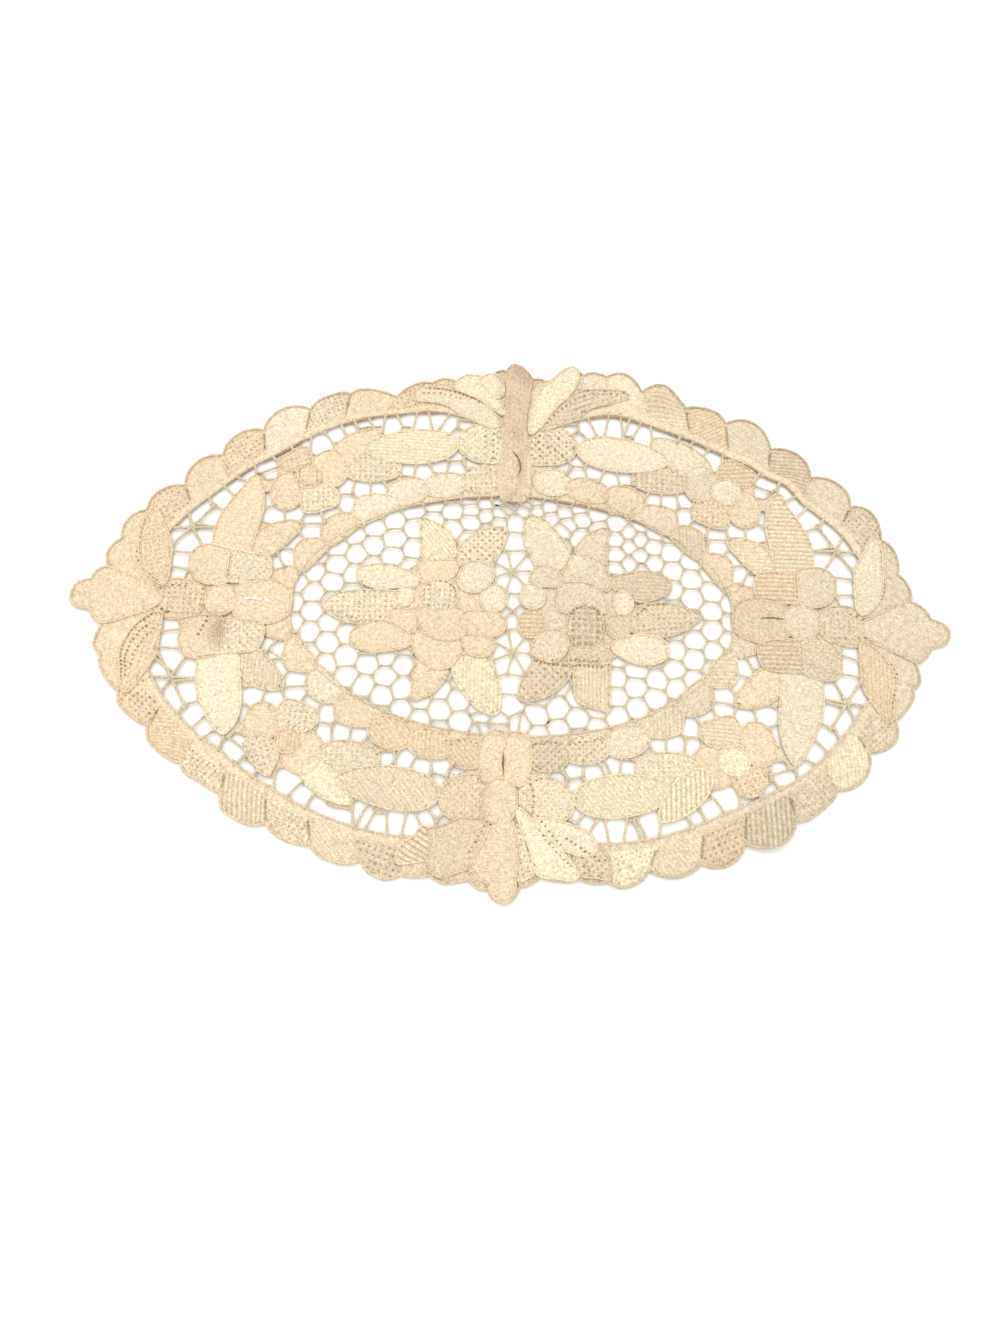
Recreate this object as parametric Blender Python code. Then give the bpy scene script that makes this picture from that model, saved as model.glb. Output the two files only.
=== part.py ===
"""Needle-lace doily: an oval mat with pointed ends, worked in one piece, lying on a table.

One closed solid in metres, +Z up. The origin is at the middle of the mat's footprint, on the
face that it rests on; +X runs along the mat. The solid has the scalloped outline, the largest
gaps of the ground, the raised buttons of the flowers, the upstanding crease at the far edge and
the scallops that curl up off the table.
"""

import math

import bmesh
import bpy
from mathutils import Matrix, Vector

MM = 0.001
WELD = 0.01 * MM
CUT_SNAP = 0.001 * MM

# Driving sizes, in millimetres.
THICKNESS = 1.6
LOBE_SEGMENTS = 6

# The edge of one quarter, from the end of the mat (+X) round to its side (+Y). Each row is the
# notch where a lobe ends and how far that lobe stands out from the straight line to it.
EDGE = (  # notch x, notch y, bulge
    (134.3, 5.4, 0.0),
    (129.6, 9.8, 1.6),
    (128.0, 20.2, 2.4),
    (121.3, 31.0, 3.0),
    (110.3, 40.6, 3.4),
    (98.9, 52.0, 4.3),
    (86.0, 61.8, 4.6),
    (70.8, 70.2, 4.6),
    (57.6, 76.5, 3.6),
    (42.2, 78.8, 3.0),
    (30.2, 83.3, 2.6),
    (21.8, 83.9, 1.2),
    (10.2, 85.3, 2.0),
    (4.6, 86.0, 1.5),
)
END_LOBE = 5.7  # how far the lobe on the X axis stands out
SIDE_LOBE = 4.0  # and the one on the Y axis

# The hand-made unevenness: each row draws the lace around a point to one side.
PULLS = (  # x, y, shift x, shift y, radius
    (140.0, 0.0, 0.0, -3.4, 46.0),
    (35.0, 88.0, 0.0, 5.2, 24.0),
    (50.0, 83.0, 0.4, 2.0, 14.0),
    (16.0, 88.0, 0.0, 1.8, 12.0),
    (78.0, 71.0, 0.5, 2.0, 16.0),
    (116.0, 40.0, 1.4, 1.2, 22.0),
    (88.0, -46.0, 0.6, -2.0, 30.0),
    (112.0, -26.0, -0.9, -1.4, 22.0),
    (-100.0, -36.0, 0.8, -1.2, 34.0),
    (-58.0, 62.0, -0.6, 0.9, 30.0),
)

# The oval ground in the middle, and the honeycomb that fills it.
OVAL_HALF_LENGTH = 70.9
OVAL_HALF_WIDTH = 40.7
OVAL_EDGE = 1.0  # solid left inside the oval's line
CELL_COLUMN = 6.05
CELL_ROW = 6.7
CELL_PHASE = 0.5
CELL_HALF_LENGTH = 3.3
CELL_HALF_HEIGHT = 2.8
CELL_SHOULDER = 0.56  # where a cell's flat side ends, as a share of its half length
CELL_LEAST_AREA = 13.0
DRAW_IN_STEPS = 12  # how finely a corner is drawn in from what covers it
MOTIF_CLEAR = 0.3

# The left flower of the middle: leaves and petals as ovals from base to tip. The right one is
# this turned half way round.
CENTRE_MOTIFS = (  # base x, base y, tip x, tip y, width
    (-33.0, 0.5, -60.5, 0.5, 10.5),
    (-31.0, 10.2, -49.0, 9.8, 8.6),
    (-31.5, -9.3, -51.0, -11.3, 9.6),
    (-22.5, 15.0, -29.5, 31.0, 10.5),
    (-16.5, 13.5, -4.5, 28.8, 12.5),
    (-24.0, -13.0, -28.5, -29.8, 9.5),
    (-14.0, -12.0, -4.5, -34.2, 12.0),
    (-36.5, 2.8, -8.5, 2.8, 27.0),
    (-17.0, 12.5, -7.0, 10.0, 10.0),
    (-9.5, 3.2, -1.8, 3.2, 9.0),
    (-11.5, -6.5, -2.6, -6.0, 8.6),
    (-31.0, -14.0, -16.0, -13.5, 12.0),
    (-15.5, -9.0, -4.5, -10.5, 11.0),
)

# The largest gaps of the outer ground, in one quarter, mirrored to the others.
RING_GAPS = (  # x, y, half length, half height, turn in degrees
    (107.2, 12.6, 3.4, 2.8, 0),
    (107.1, 19.3, 2.9, 2.8, 0),
    (101.4, 22.1, 2.3, 2.4, 0),
    (100.2, 29.2, 3.4, 1.9, -64),
    (104.5, 33.2, 4.0, 2.1, -80),
    (109.0, 28.3, 2.4, 1.9, 60),
    (97.7, 37.1, 3.1, 2.8, 20),
    (93.9, 41.7, 2.7, 1.6, 15),
    (90.7, 46.9, 3.8, 2.0, -43),
    (84.4, 50.2, 2.7, 2.3, -35),
    (79.1, 31.3, 3.3, 2.0, 0),
    (72.6, 32.0, 2.1, 2.4, 0),
    (66.7, 25.8, 3.1, 2.1, 0),
    (74.3, 16.3, 2.2, 2.7, 0),
    (67.2, 57.9, 3.6, 1.9, -35),
    (61.9, 62.4, 2.2, 1.7, -45),
    (48.9, 67.6, 2.5, 1.8, -15),
    (42.7, 65.8, 2.2, 3.7, 0),
    (37.9, 68.4, 2.1, 2.2, 0),
    (32.7, 67.6, 2.4, 3.1, 0),
    (27.3, 68.8, 2.4, 2.5, 0),
    (20.7, 55.2, 3.2, 2.0, 0),
    (25.8, 52.0, 2.4, 1.9, 20),
    (30.8, 49.0, 2.7, 2.5, 0),
    (45.0, 42.3, 2.6, 1.5, 0),
    (51.3, 42.2, 2.5, 1.5, 0),
    (56.5, 37.0, 2.2, 2.9, 0),
)

# The largest gaps between the two flowers of the middle; each has a partner half a turn away.
MIDDLE_GAPS = (  # x, y, half length, half height, turn in degrees
    (-0.2, 30.9, 2.0, 2.4, 0),
    (-0.2, 24.0, 2.8, 2.9, 0),
    (-0.9, 18.2, 2.4, 1.7, 0),
    (4.2, 15.3, 2.3, 2.7, 0),
    (-0.6, 9.2, 1.9, 3.0, 10),
)

# The raised buttons in the flowers.
BUTTONS = (  # x, y, half length, half width
    (-22.5, 2.8, 6.0, 6.0),
    (22.5, -2.8, 6.0, 6.0),
    (69.5, 45.0, 4.6, 4.6),
    (-69.5, 45.0, 4.6, 4.6),
    (-69.5, -45.0, 4.6, 4.6),
    (69.5, -45.0, 4.6, 4.6),
    (92.5, 0.0, 4.9, 4.9),
    (-92.5, 0.0, 4.9, 4.9),
    (0.0, -60.5, 4.5, 6.6),
)
BUTTON_RISE = 1.2  # above the lace
BUTTON_SINK = 0.5  # how deep its foot goes into the lace
BUTTON_FLATTEN = 0.3  # how much of its lower half is kept
BUTTON_SIDES = 12
BUTTON_RINGS = 6

# The crease that stands up along the middle of the far side.
CREASE_X = -1.5
CREASE_HALF_WIDTH = 6.5
CREASE_HEIGHT = 4.5
CREASE_START = 34.0  # y where it begins to rise
CREASE_FULL = 50.0  # y where it is at its full height
CREASE_LINES = (-6.5, -4.0, -1.8, 0.0, 1.8, 4.0, 6.5)  # across it, from CREASE_X
CREASE_RUNGS = (34.0, 42.0, 50.0)

# Scallops that curl up off the table, each from a hinge line that lies its reach inside its tip.
LIFTS = (  # tip x, tip y, height, reach, half width
    (50.0, 85.0, 2.4, 12.0, 9.0),
    (19.0, 90.0, 2.6, 16.0, 14.0),
    (36.0, 89.0, 1.6, 11.0, 9.0),
    (81.5, -71.5, 2.2, 12.0, 11.0),
    (-129.0, -21.0, 1.5, 10.0, 9.0),
    (-57.0, 80.5, 1.2, 10.0, 9.0),
)
HALF_LENGTH = 140.0
HALF_WIDTH = 90.0


def clear_scene():
    for item in list(bpy.data.objects):
        bpy.data.objects.remove(item, do_unlink=True)


def collection_named(name):
    made = bpy.data.collections.new(name)
    bpy.context.scene.collection.children.link(made)
    return made


def fade(distance, radius):
    """1 at the middle, falling smoothly to 0 at the radius."""
    share = min(1.0, distance / radius)
    return (1.0 - share * share) ** 2


def pulled(x, y):
    """A point of the even pattern, moved to where the uneven lace has it."""
    new_x, new_y = x, y
    for from_x, from_y, shift_x, shift_y, radius in PULLS:
        share = fade(math.hypot(x - from_x, y - from_y), radius)
        new_x += shift_x * share
        new_y += shift_y * share
    return new_x, new_y


def smooth(value):
    value = max(0.0, min(1.0, value))
    return value * value * (3.0 - 2.0 * value)


def hinge(tip_x, tip_y, reach):
    """The middle of a lifted scallop's hinge line, and the way out from there to its tip."""
    outward = Vector((tip_x / HALF_LENGTH**2, tip_y / HALF_WIDTH**2)).normalized()
    return Vector((tip_x, tip_y)) - outward * reach, outward


def rise(x, y):
    """How far the lace stands off the table at a point, in millimetres."""
    across = min(1.0, abs(x - CREASE_X) / CREASE_HALF_WIDTH)
    along = smooth((y - CREASE_START) / (CREASE_FULL - CREASE_START))
    height = CREASE_HEIGHT * along * (1.0 - smooth(across))
    for tip_x, tip_y, lift, reach, half_width in LIFTS:
        middle, outward = hinge(tip_x, tip_y, reach)
        offset = Vector((x, y)) - middle
        out = max(0.0, min(1.0, offset.dot(outward) / reach))
        height += lift * out * fade(abs(offset.cross(outward)), half_width)
    return height


def lobe(start, end, bulge):
    """Points of a round lobe from start to end, without start."""
    start, end = Vector(start), Vector(end)
    middle, chord = (start + end) / 2, end - start
    out = Vector((chord.y, -chord.x)).normalized()
    radius = (chord.length_squared / 4 + bulge * bulge) / (2 * bulge)
    centre = middle + out * (bulge - radius)
    first = math.atan2(start.y - centre.y, start.x - centre.x)
    sweep = math.atan2(end.y - centre.y, end.x - centre.x) - first
    sweep %= 2 * math.pi
    steps = (first + sweep * i / LOBE_SEGMENTS for i in range(1, LOBE_SEGMENTS + 1))
    return [(centre.x + radius * math.cos(a), centre.y + radius * math.sin(a)) for a in steps]


def edge_points():
    """The scalloped outline, counter-clockwise."""
    notches = [(x, y) for x, y, _ in EDGE]
    bulges = [bulge for _, _, bulge in EDGE[1:]]
    signs = ((1, 1), (-1, 1), (-1, -1), (1, -1))
    corners, swells = [], []
    for quarter, (sign_x, sign_y) in enumerate(signs):
        ring = [(sign_x * x, sign_y * y) for x, y in notches]
        between = list(bulges)
        if quarter % 2:
            ring.reverse()
            between.reverse()
        corners += ring
        swells += between + [SIDE_LOBE if quarter % 2 == 0 else END_LOBE]
    points = []
    for i, corner in enumerate(corners):
        points += lobe(corner, corners[(i + 1) % len(corners)], swells[i])
    return points


def in_motif(x, y, clear):
    """Whether a point lies on, or nearer than clear to, a leaf or petal of the middle."""
    for side in (1, -1):
        for base_x, base_y, tip_x, tip_y, width in CENTRE_MOTIFS:
            half = Vector((tip_x - base_x, tip_y - base_y)) / 2
            middle = Vector((base_x, base_y)) + half
            offset = Vector((side * x, side * y)) - middle
            along = offset.dot(half.normalized()) / (half.length + clear)
            across = offset.cross(half.normalized()) / (width / 2 + clear)
            if along * along + across * across < 1.0:
                return True
    return False


def is_open(x, y):
    """Whether the ground shows at a point of the middle oval."""
    far = math.hypot(x / (OVAL_HALF_LENGTH - OVAL_EDGE), y / (OVAL_HALF_WIDTH - OVAL_EDGE))
    return far < 1.0 and not in_motif(x, y, MOTIF_CLEAR)


def cell_points(x, y):
    """A honeycomb gap round a point: six corners, each drawn in from the rim and the motifs."""
    shoulder = CELL_HALF_LENGTH * CELL_SHOULDER
    shape = (
        (CELL_HALF_LENGTH, 0.0),
        (shoulder, CELL_HALF_HEIGHT),
        (-shoulder, CELL_HALF_HEIGHT),
        (-CELL_HALF_LENGTH, 0.0),
        (-shoulder, -CELL_HALF_HEIGHT),
        (shoulder, -CELL_HALF_HEIGHT),
    )
    corners = []
    for dx, dy in shape:
        shares = (1.0 - i / DRAW_IN_STEPS for i in range(DRAW_IN_STEPS))
        share = next((s for s in shares if is_open(x + s * dx, y + s * dy)), 0.0)
        corners.append((x + share * dx, y + share * dy))
    return corners


def area_of(corners):
    ahead = corners[1:] + corners[:1]
    return sum(ax * by - bx * ay for (ax, ay), (bx, by) in zip(corners, ahead)) / 2


def honeycomb():
    """The cells of the middle ground that show, wholly or for the most part."""
    cells = []
    columns = int(OVAL_HALF_LENGTH / CELL_COLUMN) + 1
    rows = int(OVAL_HALF_WIDTH / CELL_ROW) + 2
    for column in range(1, columns):
        for row in range(-rows, rows):
            x = -(column + 0.5) * CELL_COLUMN
            y = row * CELL_ROW + CELL_PHASE + (0.0 if column % 2 else CELL_ROW / 2)
            if not is_open(x, y):
                continue
            corners = cell_points(x, y)
            if area_of(corners) > CELL_LEAST_AREA:
                cells.append(corners)
                cells.append([(-px, -py) for px, py in corners])
    return cells


def six_sided(x, y, half_length, half_height, turn):
    """A six-sided gap."""
    turn = math.radians(turn)
    corners = []
    for i in range(6):
        angle = math.radians(60 * i)
        dx = half_length * math.cos(angle)
        dy = half_height * math.sin(angle) / math.sin(math.radians(60))
        turned = Vector((dx, dy)) @ Matrix.Rotation(-turn, 2)
        corners.append((x + turned.x, y + turned.y))
    return corners


def all_gaps():
    gaps = honeycomb()
    for row in MIDDLE_GAPS:
        gap = six_sided(*row)
        gaps += [gap, [(-px, -py) for px, py in gap]]
    for row in RING_GAPS:
        quarter = six_sided(*row)
        for sign_x in (1, -1):
            for sign_y in (1, -1):
                gaps.append([(sign_x * px, sign_y * py) for px, py in quarter])
    return gaps


def add_loop(curve, points):
    """A closed straight-sided spline through the pulled points."""
    spline = curve.splines.new("POLY")
    spline.points.add(len(points) - 1)
    for place, (x, y) in zip(spline.points, points):
        x, y = pulled(x, y)
        place.co = (x * MM, y * MM, 0.0, 1.0)
    spline.use_cyclic_u = True


def flat_lace(collection):
    """The mat as a flat plate with its gaps, from a filled and extruded 2D curve."""
    curve = bpy.data.curves.new("lace_outline", "CURVE")
    curve.dimensions = "2D"
    curve.fill_mode = "BOTH"
    curve.extrude = THICKNESS / 2 * MM
    add_loop(curve, edge_points())
    for gap in all_gaps():
        add_loop(curve, gap)
    guide = bpy.data.objects.new("lace_outline", curve)
    collection.objects.link(guide)
    bpy.context.view_layer.update()
    graph = bpy.context.evaluated_depsgraph_get()
    mesh = bpy.data.meshes.new_from_object(guide.evaluated_get(graph))
    bpy.data.objects.remove(guide, do_unlink=True)
    work = bmesh.new()
    work.from_mesh(mesh)
    bmesh.ops.remove_doubles(work, verts=work.verts, dist=WELD)
    bmesh.ops.translate(work, verts=work.verts, vec=(0, 0, THICKNESS / 2 * MM))
    work.to_mesh(mesh)
    work.free()
    lace = bpy.data.objects.new("lace", mesh)
    collection.objects.link(lace)
    return lace


def add_buttons(lace, cutters):
    """The domes of the flowers, joined to the plate."""
    mesh = bpy.data.meshes.new("buttons")
    work = bmesh.new()
    height = THICKNESS - BUTTON_SINK
    for x, y, half_length, half_width in BUTTONS:
        x, y = pulled(x, y)
        ball = bmesh.ops.create_uvsphere(
            work, u_segments=BUTTON_SIDES, v_segments=BUTTON_RINGS, radius=1.0
        )
        made = ball["verts"]
        size = (half_length * MM, half_width * MM, (BUTTON_RISE + BUTTON_SINK) * MM)
        bmesh.ops.scale(work, verts=made, vec=size)
        bmesh.ops.translate(work, verts=made, vec=(x * MM, y * MM, height * MM))
        low = [v for v in made if v.co.z < height * MM]
        for vert in low:
            vert.co.z = height * MM - (height * MM - vert.co.z) * BUTTON_FLATTEN
    work.to_mesh(mesh)
    work.free()
    domes = bpy.data.objects.new("buttons", mesh)
    domes.hide_render = True
    domes.display_type = "WIRE"
    cutters.objects.link(domes)
    join = lace.modifiers.new("buttons", "BOOLEAN")
    join.operation = "UNION"
    join.solver = "MANIFOLD"
    join.object = domes


def split(work, faces, point, normal):
    """Cuts the faces along an upright plane."""
    edges = {edge for face in faces for edge in face.edges}
    verts = {vert for face in faces for vert in face.verts}
    bmesh.ops.bisect_plane(
        work,
        geom=list(faces) + list(edges) + list(verts),
        dist=CUT_SNAP,
        plane_co=(point[0] * MM, point[1] * MM, 0.0),
        plane_no=(normal[0], normal[1], 0.0),
    )


def faces_about_crease(work, half_width):
    """The faces past the crease's start that lie within a distance of its line."""
    found = []
    for face in work.faces:
        middle = face.calc_center_median() / MM
        far = max(vert.co.y for vert in face.verts) / MM > CREASE_START - 1
        if far and abs(middle.x - CREASE_X) < half_width:
            found.append(face)
    return found


def faces_of_scallop(work, middle, outward, half_width):
    """The faces that reach past a scallop's hinge line."""
    found = []
    for face in work.faces:
        for vert in face.verts:
            offset = vert.co.xy / MM - middle
            if offset.dot(outward) > 0.1 and abs(offset.cross(outward)) < half_width:
                found.append(face)
                break
    return found


def shape_lace(lace):
    """Gives the plate edges at its folds, then raises the crease and the curled scallops."""
    graph = bpy.context.evaluated_depsgraph_get()
    mesh = bpy.data.meshes.new_from_object(lace.evaluated_get(graph))
    lace.modifiers.clear()
    work = bmesh.new()
    work.from_mesh(mesh)
    for line in CREASE_LINES:
        split(work, faces_about_crease(work, math.inf), (CREASE_X + line, 0.0), (1.0, 0.0))
    for rung in CREASE_RUNGS:
        split(work, faces_about_crease(work, CREASE_HALF_WIDTH), (0.0, rung), (0.0, 1.0))
    for tip_x, tip_y, _, reach, half_width in LIFTS:
        middle, outward = hinge(tip_x, tip_y, reach)
        aside = outward.orthogonal()
        for point, normal in (
            (middle, outward),
            (middle + aside * half_width, aside),
            (middle - aside * half_width, aside),
        ):
            split(work, faces_of_scallop(work, middle, outward, half_width), point, normal)
    bmesh.ops.triangulate(work, faces=work.faces)
    for vert in work.verts:
        vert.co.z += rise(vert.co.x / MM, vert.co.y / MM) * MM
    bmesh.ops.recalc_face_normals(work, faces=work.faces)
    work.to_mesh(mesh)
    work.free()
    lace.data = mesh


def cotton():
    material = bpy.data.materials.new("ecru_cotton")
    material.use_nodes = True
    shader = material.node_tree.nodes["Principled BSDF"]
    shader.inputs["Base Color"].default_value = (0.86, 0.70, 0.49, 1.0)
    shader.inputs["Roughness"].default_value = 0.92
    shader.inputs["Metallic"].default_value = 0.0
    return material


def main():
    clear_scene()
    parts = collection_named("lace_doily")
    cutters = collection_named("cutters")
    lace = flat_lace(parts)
    add_buttons(lace, cutters)
    bpy.context.view_layer.update()
    shape_lace(lace)
    lace.data.materials.clear()
    lace.data.materials.append(cotton())


main()
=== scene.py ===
"""Needle-lace doily: its worked look, laid out as an add-on and run as a script.

The lace is made as it is worked: cloth-stitch fillings on every leaf and petal, rows and nets of
thread over them, outline cords round them, a ground of bars between them, and padded buttons.
Tables are in millimetres on the even pattern, +X along the mat; laid() draws them into place.
"""

import math
from functools import cache

import bpy
import numpy as np
from mathutils import Matrix, Vector
from mathutils.geometry import delaunay_2d_cdt


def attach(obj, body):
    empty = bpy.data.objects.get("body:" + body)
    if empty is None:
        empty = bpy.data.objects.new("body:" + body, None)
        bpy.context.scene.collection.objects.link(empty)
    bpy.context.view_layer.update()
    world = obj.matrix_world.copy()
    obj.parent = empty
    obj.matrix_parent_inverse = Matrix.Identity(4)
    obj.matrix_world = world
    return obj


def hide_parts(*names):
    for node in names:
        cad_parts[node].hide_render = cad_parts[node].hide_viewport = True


bl_info = {
    "name": "Lace doily",
    "version": (1, 0, 0),
    "blender": (4, 5, 0),
    "location": "3D View > Sidebar > Lace",
    "description": "Works the fillings, cords, ground and buttons of a needle-lace doily",
    "category": "Object",
}

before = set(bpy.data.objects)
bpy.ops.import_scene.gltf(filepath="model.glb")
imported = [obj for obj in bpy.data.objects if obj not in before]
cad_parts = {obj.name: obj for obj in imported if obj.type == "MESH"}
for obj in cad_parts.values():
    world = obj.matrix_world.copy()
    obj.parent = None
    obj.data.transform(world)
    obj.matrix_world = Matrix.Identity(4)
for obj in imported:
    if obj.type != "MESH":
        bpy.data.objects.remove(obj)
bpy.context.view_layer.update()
CAD_NODE = "lace"
MM = 0.001

# ---------------------------------------------------------------- the shape that all pieces share

EDGE = (  # notch x, notch y, bulge of the lobe that ends there
    (134.3, 5.4, 0), (129.6, 9.8, 1.6), (128, 20.2, 2.4), (121.3, 31, 3), (110.3, 40.6, 3.4),
    (98.9, 52, 4.3), (86, 61.8, 4.6), (70.8, 70.2, 4.6), (57.6, 76.5, 3.6), (42.2, 78.8, 3),
    (30.2, 83.3, 2.6), (21.8, 83.9, 1.2), (10.2, 85.3, 2), (4.6, 86, 1.5),
)
END_LOBE, FAR_LOBE, NEAR_LOBE = 5.7, 2.2, 3.6
PULLS = (  # x, y, shift x, shift y, radius
    (140, 0, 0, -3.4, 46), (35, 88, 0, 5.2, 24), (50, 83, 0.4, 2, 14), (16, 88, 0, 1.8, 12),
    (78, 71, 0.5, 2, 16), (116, 40, 1.4, 1.2, 22), (88, -46, 0.6, -2, 30),
    (112, -26, -0.9, -1.4, 22), (-100, -36, 0.8, -1.2, 34), (-58, 62, -0.6, 0.9, 30),
    (126, 9, 0, 2, 13), (-86, -45, 0, 2, 9), (130, 18, -3, -0.6, 16), (124, 31, -1.4, -1.4, 14),
    (9.5, 87, 0, -2.2, 6), (-112, 45, 0.8, -0.8, 30), (-128, 24, 0.9, -0.3, 14),
    (-94, 60, 0.5, -0.8, 10), (-66, 77, 0.4, -1, 10), (-44, 83, 0.3, -2.4, 18),
    (-7, 88, 0, 1.6, 6), (-134, -8, 1.2, 1.2, 9), (-131, -15, 1.1, 0, 9),
    (-127, -27, 1.8, 1.6, 12), (-117, -39, 1.2, 1.4, 10), (-106, -50, 1.4, 1.6, 10),
    (-94, -61, 2.6, 3.6, 12), (-79.5, -70, 0.8, 1.8, 10), (-65, -76.5, 0.6, 3, 13),
    (-52, -80.5, 0, 1.2, 8), (-25, -85, 0, 1.7, 9), (-13, -87, 0, 2.4, 11),
    (127, -27, -2.6, 2.6, 13), (131.5, -14.5, -2.6, 0, 10), (133.5, -8.4, -0.8, 1, 8),
    (95.6, -60.2, -1.3, 1.9, 10), (14.5, -87.2, 0, 3.9, 12), (7, -87.5, 0, 1.4, 7),
    (26, -85, 0, 1.6, 8), (80, 55, 0.5, 1.4, 9), (90, 48, 0.9, 1.8, 9), (139, -5, -1, 1.6, 9),
)
CREASE_X, CREASE_HALF_WIDTH, CREASE_HEIGHT = -1.5, 6.5, 4.5
CREASE_START, CREASE_FULL = 34.0, 50.0
LIFTS = (  # tip x, tip y, height, reach, half width
    (50, 85, 2.4, 12, 9), (19, 90, 2.6, 16, 14), (36, 89, 1.6, 11, 9), (81.5, -71.5, 2.2, 12, 11),
    (-129, -21, 1.5, 10, 9), (-57, 80.5, 1.2, 10, 9),
)
HALF_LENGTH, HALF_WIDTH = 140.0, 90.0
OVAL_HALF_LENGTH, OVAL_HALF_WIDTH = 70.9, 40.7
QUARTERS = ((1, 1), (-1, 1), (-1, -1), (1, -1))

# How high the edge of a shape lies, how much higher it is for each layer, and how far it swells.
FOOT, LAYER_STEP, SWELL, SWELL_POWER = 0.34, 0.17, 0.32, 2.6
BUTTON_FOOT, BUTTON_SWELL, BUTTON_LAYER, BUTTON_POINTS = 0.84, 0.62, 6, 28
FOLD_FOOT, FOLD_SWELL, FOLD_LAYER = 0.55, 0.8, 5
SCALLOP_SWELL = 0.26
TINT_WANDER, DARKER_RIGHT = 0.022, 0.012  # how far tints differ by shape, and from side to side
CORD_HEIGHT, BAR_HEIGHT, RIM_SHADOW_HEIGHT, EDGE_HEIGHT = 0.62, 0.62, 0.45, 0.55
HIDES_WEB, HIDES_BAR, HIDES_ROW, HIDES_CORD = 0.9, 0.95, 0.96, 0.97  # share of a shape that does
OUTLINE_SPACING, FREE_SPACING = 1.3, 1.2  # between the points of an outline, and of a free one

# ---------------------------------------------------------------- the pattern

# A filling is named by two letters: the stitch, then the thread's tint. A shape that is worked in
# every quarter has four, for +x+y, -x+y, -x-y and +x-y; "--" leaves that quarter out.
# A stitch's depth sets both its bumps and the painted shade between its rows.
STITCHES = {  # pitch, thread thickness, turn in degrees (None: across the shape), crossed, depth
    "p": (0.92, 0.98, None, 0, 0.06),
    "h": (1.25, 1.1, 0, 0, 0.5),
    "H": (1.5, 1.1, 0, 0, 0.75),
    "v": (1.25, 1.1, 90, 0, 0.5),
    "V": (1.5, 1.06, 90, 0, 0.8),
    "f": (1.3, 1.1, 22, 0, 0.6),
    "b": (1.3, 1.1, -50, 0, 0.46),
    "B": (1.6, 1.06, -30, 0, 0.95),
    "d": (1.55, 1.42, None, 1, 0.3),
    "o": (1.7, 1.5, None, 1, 0.4),
    "O": (1.85, 1.58, None, 1, 0.5),
    "x": (1.6, 1.3, 45, 1, 0.7),
    "n": (2, 1.2, 0, 1, 0.6),
}
PLAIN_STITCHES, ROW_STITCHES, NET_STITCHES = "p", "hHvVfbB", "doOxn"
OPENINGS = {  # stitch: radius of the openings between its threads, and how dark their painted shade is
    "d": (0.23, 0.6), "o": (0.29, 0.8), "O": (0.35, 0.95), "x": (0.3, 0.7), "n": (0.68, 1),
}
TINTS = {"i": "ivory", "c": "cream", "p": "peach", "t": "tan", "s": "sand", "g": "grey", "w": "shade"}
SHAPES = {"oval": (0.42, 0.42), "leaf": (0.45, 0.66)}  # how fast the sides leave base and tip

QUARTER_MOTIFS = (  # shape, base x, y, tip x, y, width, bend, layer, fillings
    ("leaf", 65, 50.6, 45.4, 64.2, 11.4, 0, 1, "pc -- -- --"),
    ("leaf", 61.6, 50, 46, 62.6, 9.6, 0, 1, "-- pp pi --"),
    ("leaf", 60.6, 49.6, 45.6, 64.6, 9.8, 0, 3, "-- -- -- Vi"),
    ("leaf", 20.2, 59.3, 51.6, 55.4, 12.8, 0, 2, "pc hi bc bi"),
    ("oval", 58.6, 48.4, 38.6, 49, 10, 0, 1, "ot oc dc dc"),
    ("oval", 5.6, 46.6, 18.4, 45.8, 9.8, 0, 1, "pc oc bp xt"),
    ("oval", 16.6, 45.2, 31, 42.4, 9, 0, 1, "pp pc vp xc"),
    ("oval", 29.6, 43.2, 42.8, 38.6, 9.8, 0, 1, "pp pc bp pc"),
)

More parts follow.
